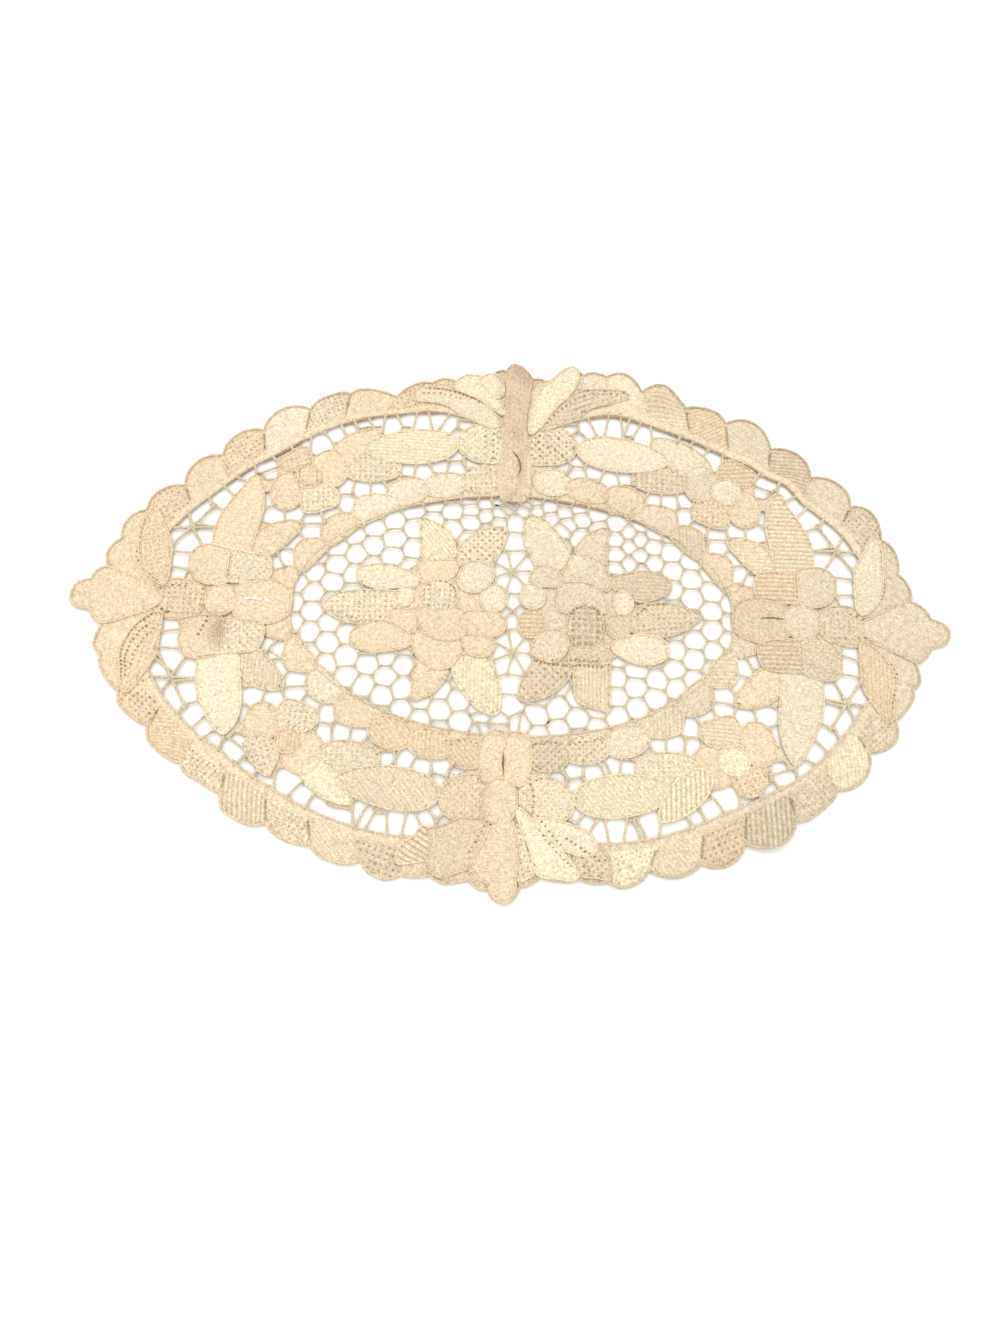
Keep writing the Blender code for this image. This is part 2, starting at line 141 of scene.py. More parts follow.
# Freely drawn shapes: points round each, in the first quarter.
QUARTER_SHAPES = (  # layer, fillings, outline
    (1, "pt pc pp vc", (
        (38.4, 37.4), (41.6, 39), (45.6, 39.5), (49.6, 38.9), (52.6, 37.6), (53.6, 35), (53.6, 32),
        (51.8, 28.9), (49, 28.8), (45, 30.8), (41.4, 33), (38.6, 34.4),
    )),
    (1, "vt pp pc pt", (
        (50.8, 29.6), (53, 31.6), (56, 32.4), (59.4, 31.4), (62.2, 29.4), (63.3, 27.2),
        (63.2, 24.4), (61.8, 21.8), (59.6, 20.2), (56.4, 22.4), (53.2, 25.4), (51.2, 27.6),
    )),
    (1, "pp pp pp hc", (
        (60.2, 21), (63, 22.6), (66.6, 22.6), (69.8, 21.4), (71.2, 18.8), (71, 15.4), (70.4, 12.2),
        (67.4, 11), (65.2, 13.2), (62.6, 16.4), (60.6, 19),
    )),
    (2, "pc dp dp vp", (
        (111.5, 4.2), (115.6, 6.6), (118.8, 10.2), (121, 15), (122, 21), (121.6, 27),
        (119.4, 31.4), (116.6, 29.6), (114.6, 26), (112.6, 22.6), (110.7, 18.6), (110.3, 12),
        (110.2, 7),
    )),
    (3, "pt pp pp dt", (
        (91.2, 6), (91, 11.5), (91.3, 17.2), (95, 18.6), (99.4, 18.9), (103.2, 17), (104.4, 12.6),
        (103, 8.8), (100.4, 6), (96, 5),
    )),
    (3, "Hp dc oc Ht", (
        (91.4, 6.4), (91.6, 12), (91.2, 16.8), (85, 17), (79.6, 16), (77.8, 12.4), (78, 8.4),
        (82, 6.6),
    )),
    (0, "pp pp pp pt", (
        (71.6, 2), (76, 5), (79, 7.8), (78.2, 10.6), (75.6, 11.6), (72, 12.8), (69, 12), (70.4, 8),
    )),
    (2, "Hc pp pi pc", (
        (97, 15), (97.6, 19), (97.8, 24.4), (96.4, 30), (94, 35), (91, 39.6), (88.8, 42.8),
        (86.8, 44.8), (84.8, 42.4), (83.2, 38), (82.7, 33), (83.2, 28), (84.2, 22.8), (84.8, 18),
        (86, 15), (91, 14),
    )),
    (1, "hc pp vc pp", (
        (85.4, 16.6), (84.6, 21.6), (82.4, 25.4), (78.4, 27.6), (73.6, 28.8), (70, 28),
        (70.2, 25.2), (72.6, 22), (75.4, 18.8), (78.2, 16.4), (81, 15.4),
    )),
    (1, "pp pp pp pp", (
        (70.4, 41.4), (70.6, 37), (72.4, 33.7), (76, 32.3), (79.4, 33.8), (81, 37.4), (81, 41.4),
        (79.2, 44.6), (75.8, 45.8), (72.8, 44.8),
    )),
    (2, "op oc oc hc", (
        (70.2, 41.8), (66, 42), (61.6, 41.4), (58.6, 38.8), (58.8, 34.8), (62, 33.2), (65.4, 31.8),
        (69.4, 31.8), (71, 36),
    )),
    (1, "pt pp pp pp", (
        (66.6, 41.6), (60.6, 41), (57, 43.6), (56, 48.6), (57.8, 52.6), (61.6, 54.4), (65.6, 53.2),
        (68.2, 49.8),
    )),
    (2, "Hp -- -- --", (
        (67.6, 50), (67.8, 53.8), (69.6, 56.6), (71.8, 57.4), (74.2, 56), (76.6, 54), (79, 52.4),
        (79.8, 50.2), (78, 47.4), (73.6, 47.4),
    )),
    (2, "-- dp -- --", (
        (68.6, 49.6), (68.8, 52.8), (70.6, 55.2), (73.2, 55.2), (76.4, 53), (79, 51.2),
        (79.4, 48.6), (76.6, 46.6), (73, 46.6),
    )),
    (2, "-- -- oc --", (
        (69, 47), (69.6, 51.6), (71.2, 55.2), (73.4, 54.8), (75.2, 52.8), (77.6, 50.6), (79, 48),
        (80, 45.4), (77.8, 43), (73.4, 43.4),
    )),
    (2, "-- -- -- op", (
        (67.8, 49.6), (68.4, 53.4), (70.4, 55.6), (73, 55.8), (75.8, 54.2), (77.6, 51.4),
        (77.8, 48.4), (75.4, 46.4), (72, 46.4),
    )),
    (0, "pp pp op ot", (
        (73.8, 44.4), (77, 43.4), (79.2, 44.2), (79.4, 46.4), (78.4, 49.6), (75, 49.2),
    )),
    (1, "Oc di dp dc", (
        (4.4, 53.2), (9.6, 52.6), (15, 53.4), (19.2, 56.6), (20.2, 60), (19, 64), (15, 66.8),
        (9.6, 67.6), (5, 67), (3.8, 60),
    )),
    (2, "dt -- -- --", (
        (5.2, 67), (8.4, 71.4), (12.4, 75), (16.6, 77.8), (20.6, 79.4), (25.4, 79.6), (31, 79),
        (36.4, 78.4), (37.6, 76.6), (30.6, 74.8), (25, 74), (20.4, 71), (14.6, 68.2), (9.4, 66),
    )),
    (2, "-- pc -- --", (
        (5.2, 67), (8.4, 72), (12, 75.6), (16.6, 78.4), (22, 80.2), (29, 81.2), (34.6, 81.8),
        (37, 79.6), (36, 76.6), (30.6, 75.4), (25, 74.2), (20.4, 71), (14.6, 68.2), (9.4, 66),
    )),
    (4, "pi -- -- --", (
        (4, 63.6), (3.2, 67.6), (3.6, 72), (4.8, 76.4), (6.6, 80.4), (9, 84), (11.8, 85.4),
        (15.4, 86.6), (18.2, 86.6), (20, 85.4), (20.2, 82.6), (18.6, 79.8), (15.6, 77.4),
        (12.6, 74.6), (10.2, 71), (7.6, 66.8),
    )),
    (3, "-- pi -- --", (
        (4.6, 69.6), (8.2, 72.8), (11.2, 75.4), (15.6, 77.8), (20, 79.6), (22.8, 81.4),
        (21.4, 84.2), (19.4, 86.2), (15.6, 86.6), (12, 85.4), (9.4, 82.4), (7.4, 79), (5.4, 75),
    )),
    (4, "-- pc -- --", (
        (5, 78), (5.4, 82.4), (7.6, 85.6), (10.6, 86.6), (13.2, 85.8), (13.4, 83.4), (11, 80.6),
        (8.2, 77.4),
    )),
    (3, "pp -- -- --", (
        (4.2, 76), (4.6, 81), (5.8, 84.8), (8.4, 86), (11, 85.6), (11.2, 82.8), (8.4, 79),
        (6.6, 76),
    )),
    (2, "-- -- -- pp", (
        (-1.1, 55), (-1.1, 47), (-0.8, 40.6), (1.4, 39.2), (4.8, 39.6), (6.8, 42.6), (7.2, 47.6),
        (6.6, 52), (5, 55.4),
    )),
    (2, "-- -- pp --", (
        (1.3, 55), (1.2, 47), (0.9, 40.6), (2.4, 38.8), (5.4, 39), (8, 41.6), (8.9, 46.6),
        (8.4, 51.6), (6.4, 55.4),
    )),
    (2, "-- -- oc oc", (
        (3.2, 67), (6.6, 72.6), (10.2, 78.6), (10.4, 82.6), (7.4, 84.6), (4.2, 84.2), (3, 79.6),
        (3.4, 74),
    )),
    (4, "-- -- -- pi", (
        (2.4, 62.6), (4.6, 68.4), (7.2, 74.6), (8.6, 80.6), (10.2, 85.2), (15, 86.1), (20.4, 85.2),
        (21.6, 81.6), (19, 77), (15.4, 73.2), (11.4, 69.6), (8, 66.2), (5, 62.8),
    )),
    (3, "-- -- -- pc", (
        (6.8, 65.6), (10, 69.2), (14, 72.2), (18.6, 74.8), (24, 75.6), (27, 73), (24.8, 69),
        (20, 66.8), (15, 65.6), (11, 65),
    )),
    (2, "-- -- -- Ot", (
        (20.2, 75.6), (20.8, 82.6), (26, 83), (31, 82.6), (30.6, 76.6), (27, 72.6), (23, 73.6),
    )),
    (3, "-- -- ps --", (
        (5.2, 66.4), (9.8, 65.8), (14, 65.8), (19, 68.4), (23.4, 69.4), (22, 74), (22.8, 78),
        (21.8, 83), (17.6, 84.8), (13.4, 83.2), (10.4, 81.6), (8.6, 77.6), (6.4, 72),
    )),
    (2, "-- -- Bc --", (
        (22.8, 68.8), (21.4, 73), (22.4, 78), (26, 79.8), (31.6, 79.4), (30.8, 74.4), (26.6, 71.2),
        (25.4, 68.8),
    )),
)

# Freely drawn shapes on the long axis, mirrored across it, and a single one on the near side.
END_SHAPES = (  # layer, fillings right and left, one side of the outline
    (0, "dt", "op", ((98, 3.2), (101, 5.6), (106, 6.8), (109.8, 6.4), (113.4, 3.4))),
    (3, "ps", "pp", (
        (70.2, 1.6), (71.2, 4.6), (74.4, 6.7), (79, 7.7), (84.4, 7.1), (88.2, 4.6), (89.6, 1.6),
    )),
    (1, "pt", "pp", (
        (111.6, 1.6), (115.4, 4.2), (120.6, 6.5), (126, 8.7), (130.4, 9.9), (133.2, 8.8),
        (134.5, 5.6), (138.2, 4.6), (139.9, 2),
    )),
)
SPEAR = (
    (-2.6, -66), (-5.2, -69), (-6.6, -73), (-9.4, -78), (-10, -81.6), (-7.4, -84.2), (-4.7, -85),
    (-3.6, -87.6), (-0.6, -89.6), (2, -89.2), (3.5, -86.4), (3.2, -83), (3.8, -79.6), (4.2, -75),
    (2.8, -70), (1.6, -66),
)

# The scallops of the border, each between two notches of EDGE: where its two seams start on the
# inner side, and its fillings in the four quarters.
SCALLOPS = (  # first notch, last notch, seam x, y, seam x, y, fillings
    (0, 1, 122, 4, 116, 3.4, "pt pp pp pt"), (1, 3, 111.8, 2.4, 121.4, 28, "pt pp pp pt"),
    (3, 4, 115, 20.6, 108.4, 34.4, "ot op Op dt"), (4, 5, 108.4, 34.4, 97.2, 45.2, "pt pp hp vi"),
    (5, 6, 97.2, 45.2, 85.4, 54.6, "Ht op oc dt"), (6, 7, 85.4, 54.6, 72.8, 62.8, "pt pc Vc Vg"),
    (7, 8, 72.8, 62.8, 59.4, 69.8, "fp oc oc Os"), (8, 9, 59.4, 69.8, 45.6, 74, "hc pp bc bc"),
    (9, 10, 45.6, 74, 32.2, 75.6, "pc op Ot oi"), (10, 11, 32.2, 74.6, 20, 75, "pc dp pt dt"),
    (11, 12, 20, 75, 9, 75, "pc pi pp pi"), (12, 13, 9, 75, 3, 75, "pp pc dc dc"),
)

# The line where the border's inner cord runs, from the end of the mat round to its side.
RIM = (  # x, y
    (113, 22.7), (107, 31), (100, 38), (90, 46.8), (80, 53.2), (70, 59.3), (60, 64.2), (50, 68),
    (40, 70.6), (29, 71.8), (21, 70.6), (15, 68.4),
)
RIM_BAND, OVAL_BAND = 3.8, 3.6  # widths of the worked bands along the border and the oval
SEAM_START = 0.55  # how far out in the band the scallops' fillings begin
BAND_SCALLOPS = range(3, 10)  # the scallops whose fillings begin in the band

# The left flower. The right one is the same, turned half round, where it has a filling.
CENTRE_SHAPES = (  # layer, filling left, filling right, outline
    (0, "pp", "pt", (
        (-38, 6), (-31, 15), (-19, 16), (-8, 14), (-5, 6), (-4.4, -4), (-8, -14), (-17, -17),
        (-29, -16), (-35, -9), (-38.6, -4),
    )),
    (1, "--", "ot", (
        (-60.2, -0.2), (-57, 2.8), (-52, 5.8), (-46, 7.2), (-41, 6.6), (-36, 4.6), (-34, 0),
        (-38, -2.4), (-43, -4.2), (-49, -4.8), (-55, -3.4), (-59, -1.8),
    )),
    (2, "--", "pc", (
        (-49.4, 9.6), (-49, 13.6), (-45, 16), (-40, 16.2), (-35, 14.4), (-31.6, 11.6),
        (-32.6, 8.8), (-37, 7), (-42, 6.4), (-47, 7.4),
    )),
    (1, "--", "vc", (
        (-31, 31.6), (-31, 24), (-30.8, 17), (-26, 15.4), (-21, 15.6), (-19.6, 19), (-19.8, 25),
        (-21, 28.8), (-25, 30.6), (-28.6, 31.4),
    )),
    (3, "--", "pc", (
        (-9.8, -2.4), (-6.6, -0.8), (-3.2, -2.2), (-2.2, -6), (-4, -9.2), (-7.6, -9.2),
        (-10, -6.2),
    )),
    (3, "--", "pc", (
        (-38.6, -4), (-37.4, -1), (-34.8, 0), (-32.6, -1.6), (-32.2, -4.8), (-33.8, -7.6),
        (-36.6, -7.6),
    )),
    (2, "pc", "--", (
        (-37.1, 2.6), (-36.4, 5.8), (-34.2, 7), (-32.2, 5.6), (-32, 2.2), (-34, 0.2), (-36.4, 0.6),
    )),
    (1, "oc", "--", (
        (-59.8, 0.4), (-57, 3.6), (-50, 5.2), (-43, 5.4), (-37, 5.2), (-33, 3), (-33, -4),
        (-38, -6), (-46, -6.6), (-54, -5), (-59, -2.4),
    )),
    (2, "pc", "--", (
        (-50.2, 12.6), (-46, 14.2), (-40, 14.6), (-35, 13), (-31, 11), (-31, 7), (-36, 6.6),
        (-43, 5.8), (-48, 7.4), (-50.2, 9.6),
    )),
    (2, "pp", "ht", (
        (-50, -13.2), (-50.6, -9), (-46, -6), (-41, -4.6), (-36, -6.4), (-32, -9), (-31.6, -12.6),
        (-37, -14.6), (-44, -15.4),
    )),
    (1, "bi", "--", (
        (-31, 31.4), (-30.8, 24), (-30.2, 18), (-27, 15.6), (-23, 15), (-20, 16.4), (-19.2, 20),
        (-20.2, 25.6), (-23.8, 29), (-27.6, 30.6),
    )),
    (1, "Oc", "Ot", (
        (-18.6, 20.6), (-15.6, 24.6), (-12, 27.4), (-8, 29), (-3.2, 29.2), (-2.6, 26), (-4, 21.6),
        (-6.4, 17), (-8.2, 14), (-14, 14.2), (-18.8, 16.6),
    )),
    (1, "pp", "pt", (
        (-30.2, -30.2), (-30.4, -24), (-29.8, -17), (-25, -16), (-20.4, -18), (-19.8, -22),
        (-23, -27.2), (-27, -29.6),
    )),
    (1, "vi", "pc", (
        (-18.4, -17.6), (-17.8, -22), (-14.8, -27), (-10, -32.2), (-4.4, -34.2), (-2.9, -31),
        (-3, -25), (-5, -19.6), (-8, -15), (-13, -14.2),
    )),
    (2, "pp", "dt", (
        (-30.8, 16), (-30.6, 11), (-28.8, 8.4), (-22, 9.6), (-18.6, 12), (-18.2, 16.6),
        (-22.6, 16.6), (-27, 16.6),
    )),
    (3, "pc", "pt", (
        (-17.2, 13.2), (-17.8, 8.4), (-14.6, 5.8), (-10.4, 6.2), (-7.2, 9.4), (-6.2, 13.6),
        (-9.6, 16), (-14, 16.6),
    )),
    (2, "pc", "Hp", (
        (-9.8, 6.4), (-6.4, 8.8), (-3.2, 7.8), (-1.8, 4), (-3.4, 0.4), (-7.4, -0.6), (-10.2, 1.6),
    )),
    (3, "pp", "--", (
        (-15.8, -1.2), (-10, -0.4), (-5, -0.8), (-2, -3.4), (-2.6, -7), (-6.6, -9.2), (-12, -8.8),
        (-16.2, -6),
    )),
    (2, "pp", "pt", (
        (-30.6, -8), (-31.2, -12), (-29.4, -16.4), (-24, -20.2), (-19.2, -19.6), (-16.2, -15.6),
        (-15.6, -10.2), (-20, -10.4), (-26, -9.2),
    )),
    (3, "pp", "pt", (
        (-15.6, -9.2), (-10, -8.6), (-6.4, -9.2), (-5.2, -12.6), (-8, -15.6), (-13.6, -14.8),
    )),
    (2, "--", "bt", (
        (-38.4, 2.6), (-37, 6.4), (-33.6, 8.2), (-30.6, 6.6), (-29.8, 2), (-33, 0), (-37, 0.2),
    )),
    (2, "pp", "--", (
        (-38.2, -0.8), (-33, -0.6), (-29.6, -0.8), (-29.4, -5.6), (-32, -8.6), (-36.4, -7.6),
        (-39, -4.4),
    )),
    (3, "pp", "pt", (
        (-29.8, -0.4), (-29.4, -6), (-26, -9.6), (-20, -10.8), (-15.2, -9.4), (-14, -5),
        (-15.2, -0.4), (-22, 0.6),
    )),
)

BUTTONS = (  # x, y, half length, half width, filling
    (-23.4, 4.3, 5.8, 5.4, "oc"), (23.2, -4, 5.9, 7.6, "nt"), (21, 16.2, 3.5, 3.8, "pc"),
    (70.2, 45, 5, 4.8, "pc"), (-69, 44.4, 4.4, 4.1, "dp"), (-66.8, -44.6, 4, 3.9, "vp"),
    (68.3, -45.3, 4.6, 4.4, "pi"), (92.2, 0, 5.9, 6.1, "pt"), (-92.5, 0, 5, 5.2, "pp"),
    (-2.2, -60.6, 5.4, 7, "pp"),
)

# The creased strip along the middle of the far side, drawn over everything there.
FOLD = (  # y, left x, right x
    (38, -3.6, 1.6), (39.2, -5.2, 3.6), (42, -6.3, 4.7), (46, -6.7, 5.3), (50, -6.8, 5.4),
    (56, -6, 4.6), (62, -5.5, 3.5), (68, -5.2, 3.3), (74, -5, 3.7), (80, -5.2, 4.2), (84, -5.6, 4),
    (86.8, -4.8, 3.6), (88.2, -3.6, 2),
)
# Where the tint is darker: partly darkened thread, partly painted shade in the crease and the pucker.
STAINS_AND_SHADE = (  # x, y, half length, half height, strength
    (-1.4, 72, 5, 30, 0.5), (-1.2, 62, 3, 6.5, 0.8), (-0.4, 86, 6, 6.5, 1), (-3.4, 74, 2, 7, 0.7),
    (0.6, 50, 2, 8, 0.6), (-1, 40, 3.4, 4, 0.6), (-92.8, -9.8, 3.4, 6, 1), (-99, -6, 3, 4, 0.25),
    (23, -1, 9, 8, 0.16), (-30, 79, 14, 6, 0.12), (50, 76, 12, 4, 0.22), (6.6, -60, 1.6, 8, 0.3),
    (-6.6, -59, 1.8, 8, 0.45),
)
# Each open stitch is drawn as a dark disc of painted shade.
HOLES = (  # pitch, radius, then the line that a row of open stitches follows
    (1.3, 0.46, (
        (-109.6, -4.8), (-113.6, -6), (-117.8, -9.2), (-120.6, -14), (-121.6, -19), (-121.2, -27),
    )),
    (1.35, 0.38, ((-112.6, -7.8), (-116, -10.8), (-118.8, -15.4), (-119.8, -20), (-119.6, -26))),
    (1.4, 0.32, ((-112, -10.4), (-114.6, -13.4), (-116.8, -17.4), (-117.8, -22))),
    (1.6, 0.34, ((-113.6, 5.6), (-118.6, 9.4), (-121.4, 13.6), (-122, 19), (-121.2, 27))),
    (1.6, 0.34, ((114, 5.4), (118.8, 9.4), (121.4, 13.6), (122, 19), (121.2, 27))),
    (1.6, 0.36, ((114, -5.4), (118.8, -9.4), (121.4, -13.6), (122, -19), (121.2, -27))),
    (1.7, 0.52, ((-112.6, -2.8), (-108.8, -4.6))),
    (1.8, 0.44, ((-112.2, 3.2), (-108, 4.4), (-104.4, 4.2))),
    (1.7, 0.36, ((112.2, 3), (108, 4.2), (104, 4.2))),
    (1.7, 0.36, ((112.2, -3), (108, -4.2), (104, -4.2))),
    (1.4, 0.5, ((-95.4, -4.6), (-96.4, -7.6), (-98, -11.6))),
    (1.7, 0.36, ((-98.6, 3.6), (-97.8, 0.4), (-98.2, -2))),
    (1.4, 0.34, ((-91.2, 8.4), (-91.4, 16))),
    (1.4, 0.4, ((-77.6, -7.8), (-77.4, -11.6))),
    (1.6, 0.3, ((91.2, 8.4), (91.4, 16))),
    (1.5, 0.6, ((-31, 81.2), (-25.5, 80.6), (-20, 79), (-15.4, 77.2), (-11, 75))),
    (1.45, 0.48, ((-11, 75), (-8, 72.8), (-5.4, 69.8))),
    (1.7, 0.36, ((-33, 79.4), (-26, 78.6), (-20, 76.8))),
    (1.5, 0.42, ((13.4, 75.2), (17, 78.2), (21, 79.5), (27, 79.4))),
    (1.6, 0.34, ((15, 74.6), (19, 77.2), (24, 78.2), (29, 77.8))),
    (1.7, 0.46, ((29.6, 78.6), (32.4, 77.4), (36, 78.2))),
    (1.8, 0.36, ((9.8, 68.6), (12.6, 72.4), (16.2, 75.6))),
    (1.5, 0.34, ((6.4, -63.6), (10.6, -69.6), (14.8, -74.6), (19.4, -79.2))),
    (1.7, 0.36, ((9.4, -64.6), (13.6, -70), (18.6, -75.2))),
    (1.5, 0.32, ((3.6, -66), (6.2, -72), (8.4, -79))),
    (1.5, 0.42, ((18, -70.6), (23, -74), (27.6, -76.6))),
    (1.5, 0.36, ((-5.6, -66.4), (-7.6, -70.4), (-10.6, -75.6))),
    (1.8, 0.34, ((-7.2, -55), (-11, -52.6), (-15.6, -52.6), (-19, -55.4))),
    (1.7, 0.4, ((7, -55), (8.2, -58.8), (7.6, -63.8))),
    (1.8, 0.34, ((8.6, -54), (13, -52.6), (18, -54.6), (20.4, -58.6))),
    (1.45, 0.36, ((8, -43), (12.4, -42.2), (17.4, -42))),
    (1.5, 0.34, ((18.6, -42.4), (24.6, -41.4), (31, -39.8))),
    (1.7, 0.34, ((-9.6, -43), (-14, -42.4), (-19, -42.6))),
    (2, 0.42, ((7.4, 63.6), (7.2, 60), (7.8, 56))),
    (2.4, 0.44, ((11, 63.8), (15.6, 62.4), (18.8, 59.4))),
    (2.4, 0.42, ((10.4, 59.2), (14.4, 57.4), (16.8, 54.8))),
    (2.2, 0.4, ((-8, 63.6), (-8.4, 59), (-8.2, 54.6))),
    (2.2, 0.36, ((-11, 64.8), (-10.6, 60), (-11.2, 56))),
    (1.4, 0.46, ((28.4, -1.4), (27, 1.2), (23.2, 2.6), (19.4, 1.4), (18, -1.4))),
    (1.5, 0.36, ((28.8, -4), (28.4, -8), (26, -10.6))),
    (1.5, 0.34, ((-17.8, 4), (-18.8, 7), (-22.4, 9.2), (-26.4, 8.8), (-28.8, 6.4))),
    (1.35, 0.44, ((28.4, -17.6), (22, -17.4), (14, -17.4), (8, -16.4))),
    (1.4, 0.38, ((27, -15.8), (20, -15.6), (13, -15.8))),
    (1.5, 0.38, ((48, 4.4), (43, 3.4), (38.8, -0.6))),
    (1.6, 0.28, ((-57, -2), (-50, -4.4), (-43, -5.4))),
)
SLITS = (  # thickness, then the points of an opening with a dark side, which is painted shadow
    (0.75, ((-1.3, -45.6), (-1.4, -49), (-1.3, -52.2))),
    (0.6, ((-1.8, 54.4), (-0.4, 53.2), (0.8, 51), (1, 48.4), (0.2, 46))),
    (0.5, ((79, 0.6), (83, 0.9), (86.4, 0.5))),
)
BARE = (  # the same, where the floor shows
    (0.9, ((-79.6, 0.3), (-82.6, 0.8), (-85, 0.5))),
    (0.8, ((-76.4, -0.4), (-78.2, 0.2))),
)
LIGHT_THREADS = (  # pale threads that lie on top
    (0.8, ((-97.6, 19), (-92, 17.8), (-86, 16.6), (-78, 15.4))),
    (0.8, ((-98, -18.2), (-92, -17.4), (-85, -16.4), (-76, -15.6), (-70, -19))),
    (0.6, ((-8.4, 38), (-8.8, 44), (-8, 51))),
    (0.6, ((5.4, 38.4), (6, 44), (5.2, 51))),
)

# Ground: where the gaps lie in the outer ring, in one quarter.
RING_CELLS = (  # x, y, half length, half height, turn in degrees
    (107.2, 12.6, 3.4, 2.8, 0), (108, 8.2, 2, 1.2, 0), (97.6, 36.8, 4, 3.2, -50),
    (93.4, 41.2, 3.4, 1.9, -40), (90.9, 45.8, 4.2, 2, -38), (83, 48.4, 3, 1.5, -10),
    (81.6, 45.2, 1.6, 0.6, -10), (78.2, 52.9, 2.2, 0.7, -30), (73, 56.6, 1.6, 1, -35),
    (79.2, 30.9, 3.3, 2.4, 0), (81.8, 36, 1.3, 1.8, 0), (72.6, 32, 2.1, 2.4, 0),
    (66.5, 25.4, 3, 2.3, 0), (66.4, 29.9, 3.4, 0.9, -4), (60.6, 32.3, 2.3, 0.9, -10),
    (71.8, 21.5, 2, 0.8, -58), (73.3, 15.7, 2, 2.3, 0), (77, 13.4, 1.5, 1.6, 0),
    (74.2, 8.2, 0.1, 0.1, 0), (66, 56.8, 3.2, 2.8, -20), (60.6, 61, 2.4, 2, -35),
    (56.6, 63.4, 2, 1.4, -25), (52.8, 65.4, 2, 1, -18), (48.4, 66.6, 2.4, 1.4, -10),
    (42.7, 65.8, 2.2, 3.7, 0), (37.9, 68.4, 2.1, 2.2, 0), (32.7, 67.6, 2.4, 3.1, 0),
    (27.3, 68.8, 2.4, 2.5, 0), (23.4, 66.4, 2.2, 1.6, -45), (20.2, 63.6, 1.6, 2, 0),
    (17.8, 66.8, 1.8, 0.8, 0), (20.7, 55.2, 3.2, 2, 0), (20, 50.4, 2.8, 1.9, 0),
    (15.2, 53, 1.8, 0.9, 10), (26.2, 51.4, 2.6, 2, 0), (31.3, 48.6, 2.8, 2.9, 0),
    (36.8, 49.4, 2, 1.7, 0), (45.2, 41.6, 2.7, 1.6, 0), (51.4, 41.2, 2.5, 2, 0),
    (56.4, 41.8, 1.8, 2, -25), (55.9, 35.6, 1.9, 2.9, 0), (41.6, 43.8, 1.4, 0.7, 0),
)
SPIDER_CELLS = (  # the cells round a spider, which its own rays part
    (107.1, 19.3, 2.9, 2.8, 0), (110.4, 22.6, 1.6, 1.6, 0), (101.4, 22.1, 2.3, 2.4, 0),
    (100.2, 29.2, 3.4, 1.9, -64), (104.5, 33.2, 4, 2.1, -80), (109, 28.3, 2.4, 1.9, 60),
    (105.3, 25, 3.2, 3.2, 0),
)
SPIDERS = (  # x, y, then the ways its arms go in degrees, mirrored as the ground is
    (105.3, 25, (0, 64, 122, 181, 240, 306)),
)
ARM_REACH = 11.0
MIDDLE_SPIDERS = (  # x, y, arms, reach
    (-0.5, 13.5, 7, 4.4), (0.5, -13.8, 7, 4.4),
)
CLOSE_MESHES = (  # x from, to, y from, to, and how far apart the meshes lie each way
    (-17, -3, 29.6, 41, 4.7, 4.4), (4, 22, 30, 40, 5, 4.3), (31.4, 49, 14, 33, 4, 5.6),
)
CELL_COLUMN, CELL_ROW, CELL_PHASE = 6.05, 6.7, 0.5
MIDDLE_HALF_WIDTH, MIDDLE_HALF_HEIGHT = 7, 36  # where the cells are placed one by one instead
MIDDLE_CELLS = (  # x, y: between the two flowers, each with a partner half a turn away
    (-0.2, 30.9), (-0.2, 24), (0.4, 2.6), (2.8, 0.4), (3.4, 37.2), (-3, 36.6), (8.6, 39.2),
    (8.6, 34.2),
)


def smooth(value):
    value = np.clip(value, 0.0, 1.0)
    return value * value * (3.0 - 2.0 * value)


def fade(distance, radius):
    share = np.minimum(1.0, distance / radius)
    return (1.0 - share * share) ** 2


def pulled(points):
    """Points of the even pattern, moved to where the uneven lace has them."""
    moved = points.copy()
    for x, y, shift_x, shift_y, radius in PULLS:
        share = fade(np.hypot(points[:, 0] - x, points[:, 1] - y), radius)
        moved[:, 0] += shift_x * share
        moved[:, 1] += shift_y * share
    return moved


def rise(points):
    """How far the lace stands off the table."""
    across = np.minimum(1.0, np.abs(points[:, 0] - CREASE_X) / CREASE_HALF_WIDTH)
    along = smooth((points[:, 1] - CREASE_START) / (CREASE_FULL - CREASE_START))
    height = CREASE_HEIGHT * along * (1.0 - smooth(across))
    for tip_x, tip_y, lift, reach, half_width in LIFTS:
        outward = np.array((tip_x / HALF_LENGTH**2, tip_y / HALF_WIDTH**2))
        outward /= np.linalg.norm(outward)
        offset = points - (np.array((tip_x, tip_y)) - outward * reach)
        out = np.clip(offset @ outward / reach, 0.0, 1.0)
        aside = np.abs(offset[:, 0] * outward[1] - offset[:, 1] * outward[0])
        height += lift * out * fade(aside, half_width)
    return height


def laid(points, heights):
    """Places in metres for points of the even pattern at heights above the lace's underside."""
    flat = pulled(np.asarray(points, float))
    return np.column_stack((flat, heights + rise(flat))) * MM


# ---------------------------------------------------------------- outlines and motifs


def turned(points, angle):
    c, s = math.cos(angle), math.sin(angle)
    return points @ np.array(((c, s), (-s, c)))


def lobe(start, end, bulge):
    """Points of a round lobe from start to end, with both."""
    start, end = np.array(start, float), np.array(end, float)
    chord = end - start
    length = float(np.hypot(*chord))
    out = np.array((chord[1], -chord[0])) / length
    radius = (length * length / 4 + bulge * bulge) / (2 * bulge)
    centre = (start + end) / 2 + out * (bulge - radius)
    first = math.atan2(*(start - centre)[::-1])
    sweep = (math.atan2(*(end - centre)[::-1]) - first) % (2 * math.pi)
    count = max(4, int(radius * sweep / OUTLINE_SPACING))
    angles = first + sweep * np.linspace(0.0, 1.0, count + 1)
    return centre + radius * np.column_stack((np.cos(angles), np.sin(angles)))


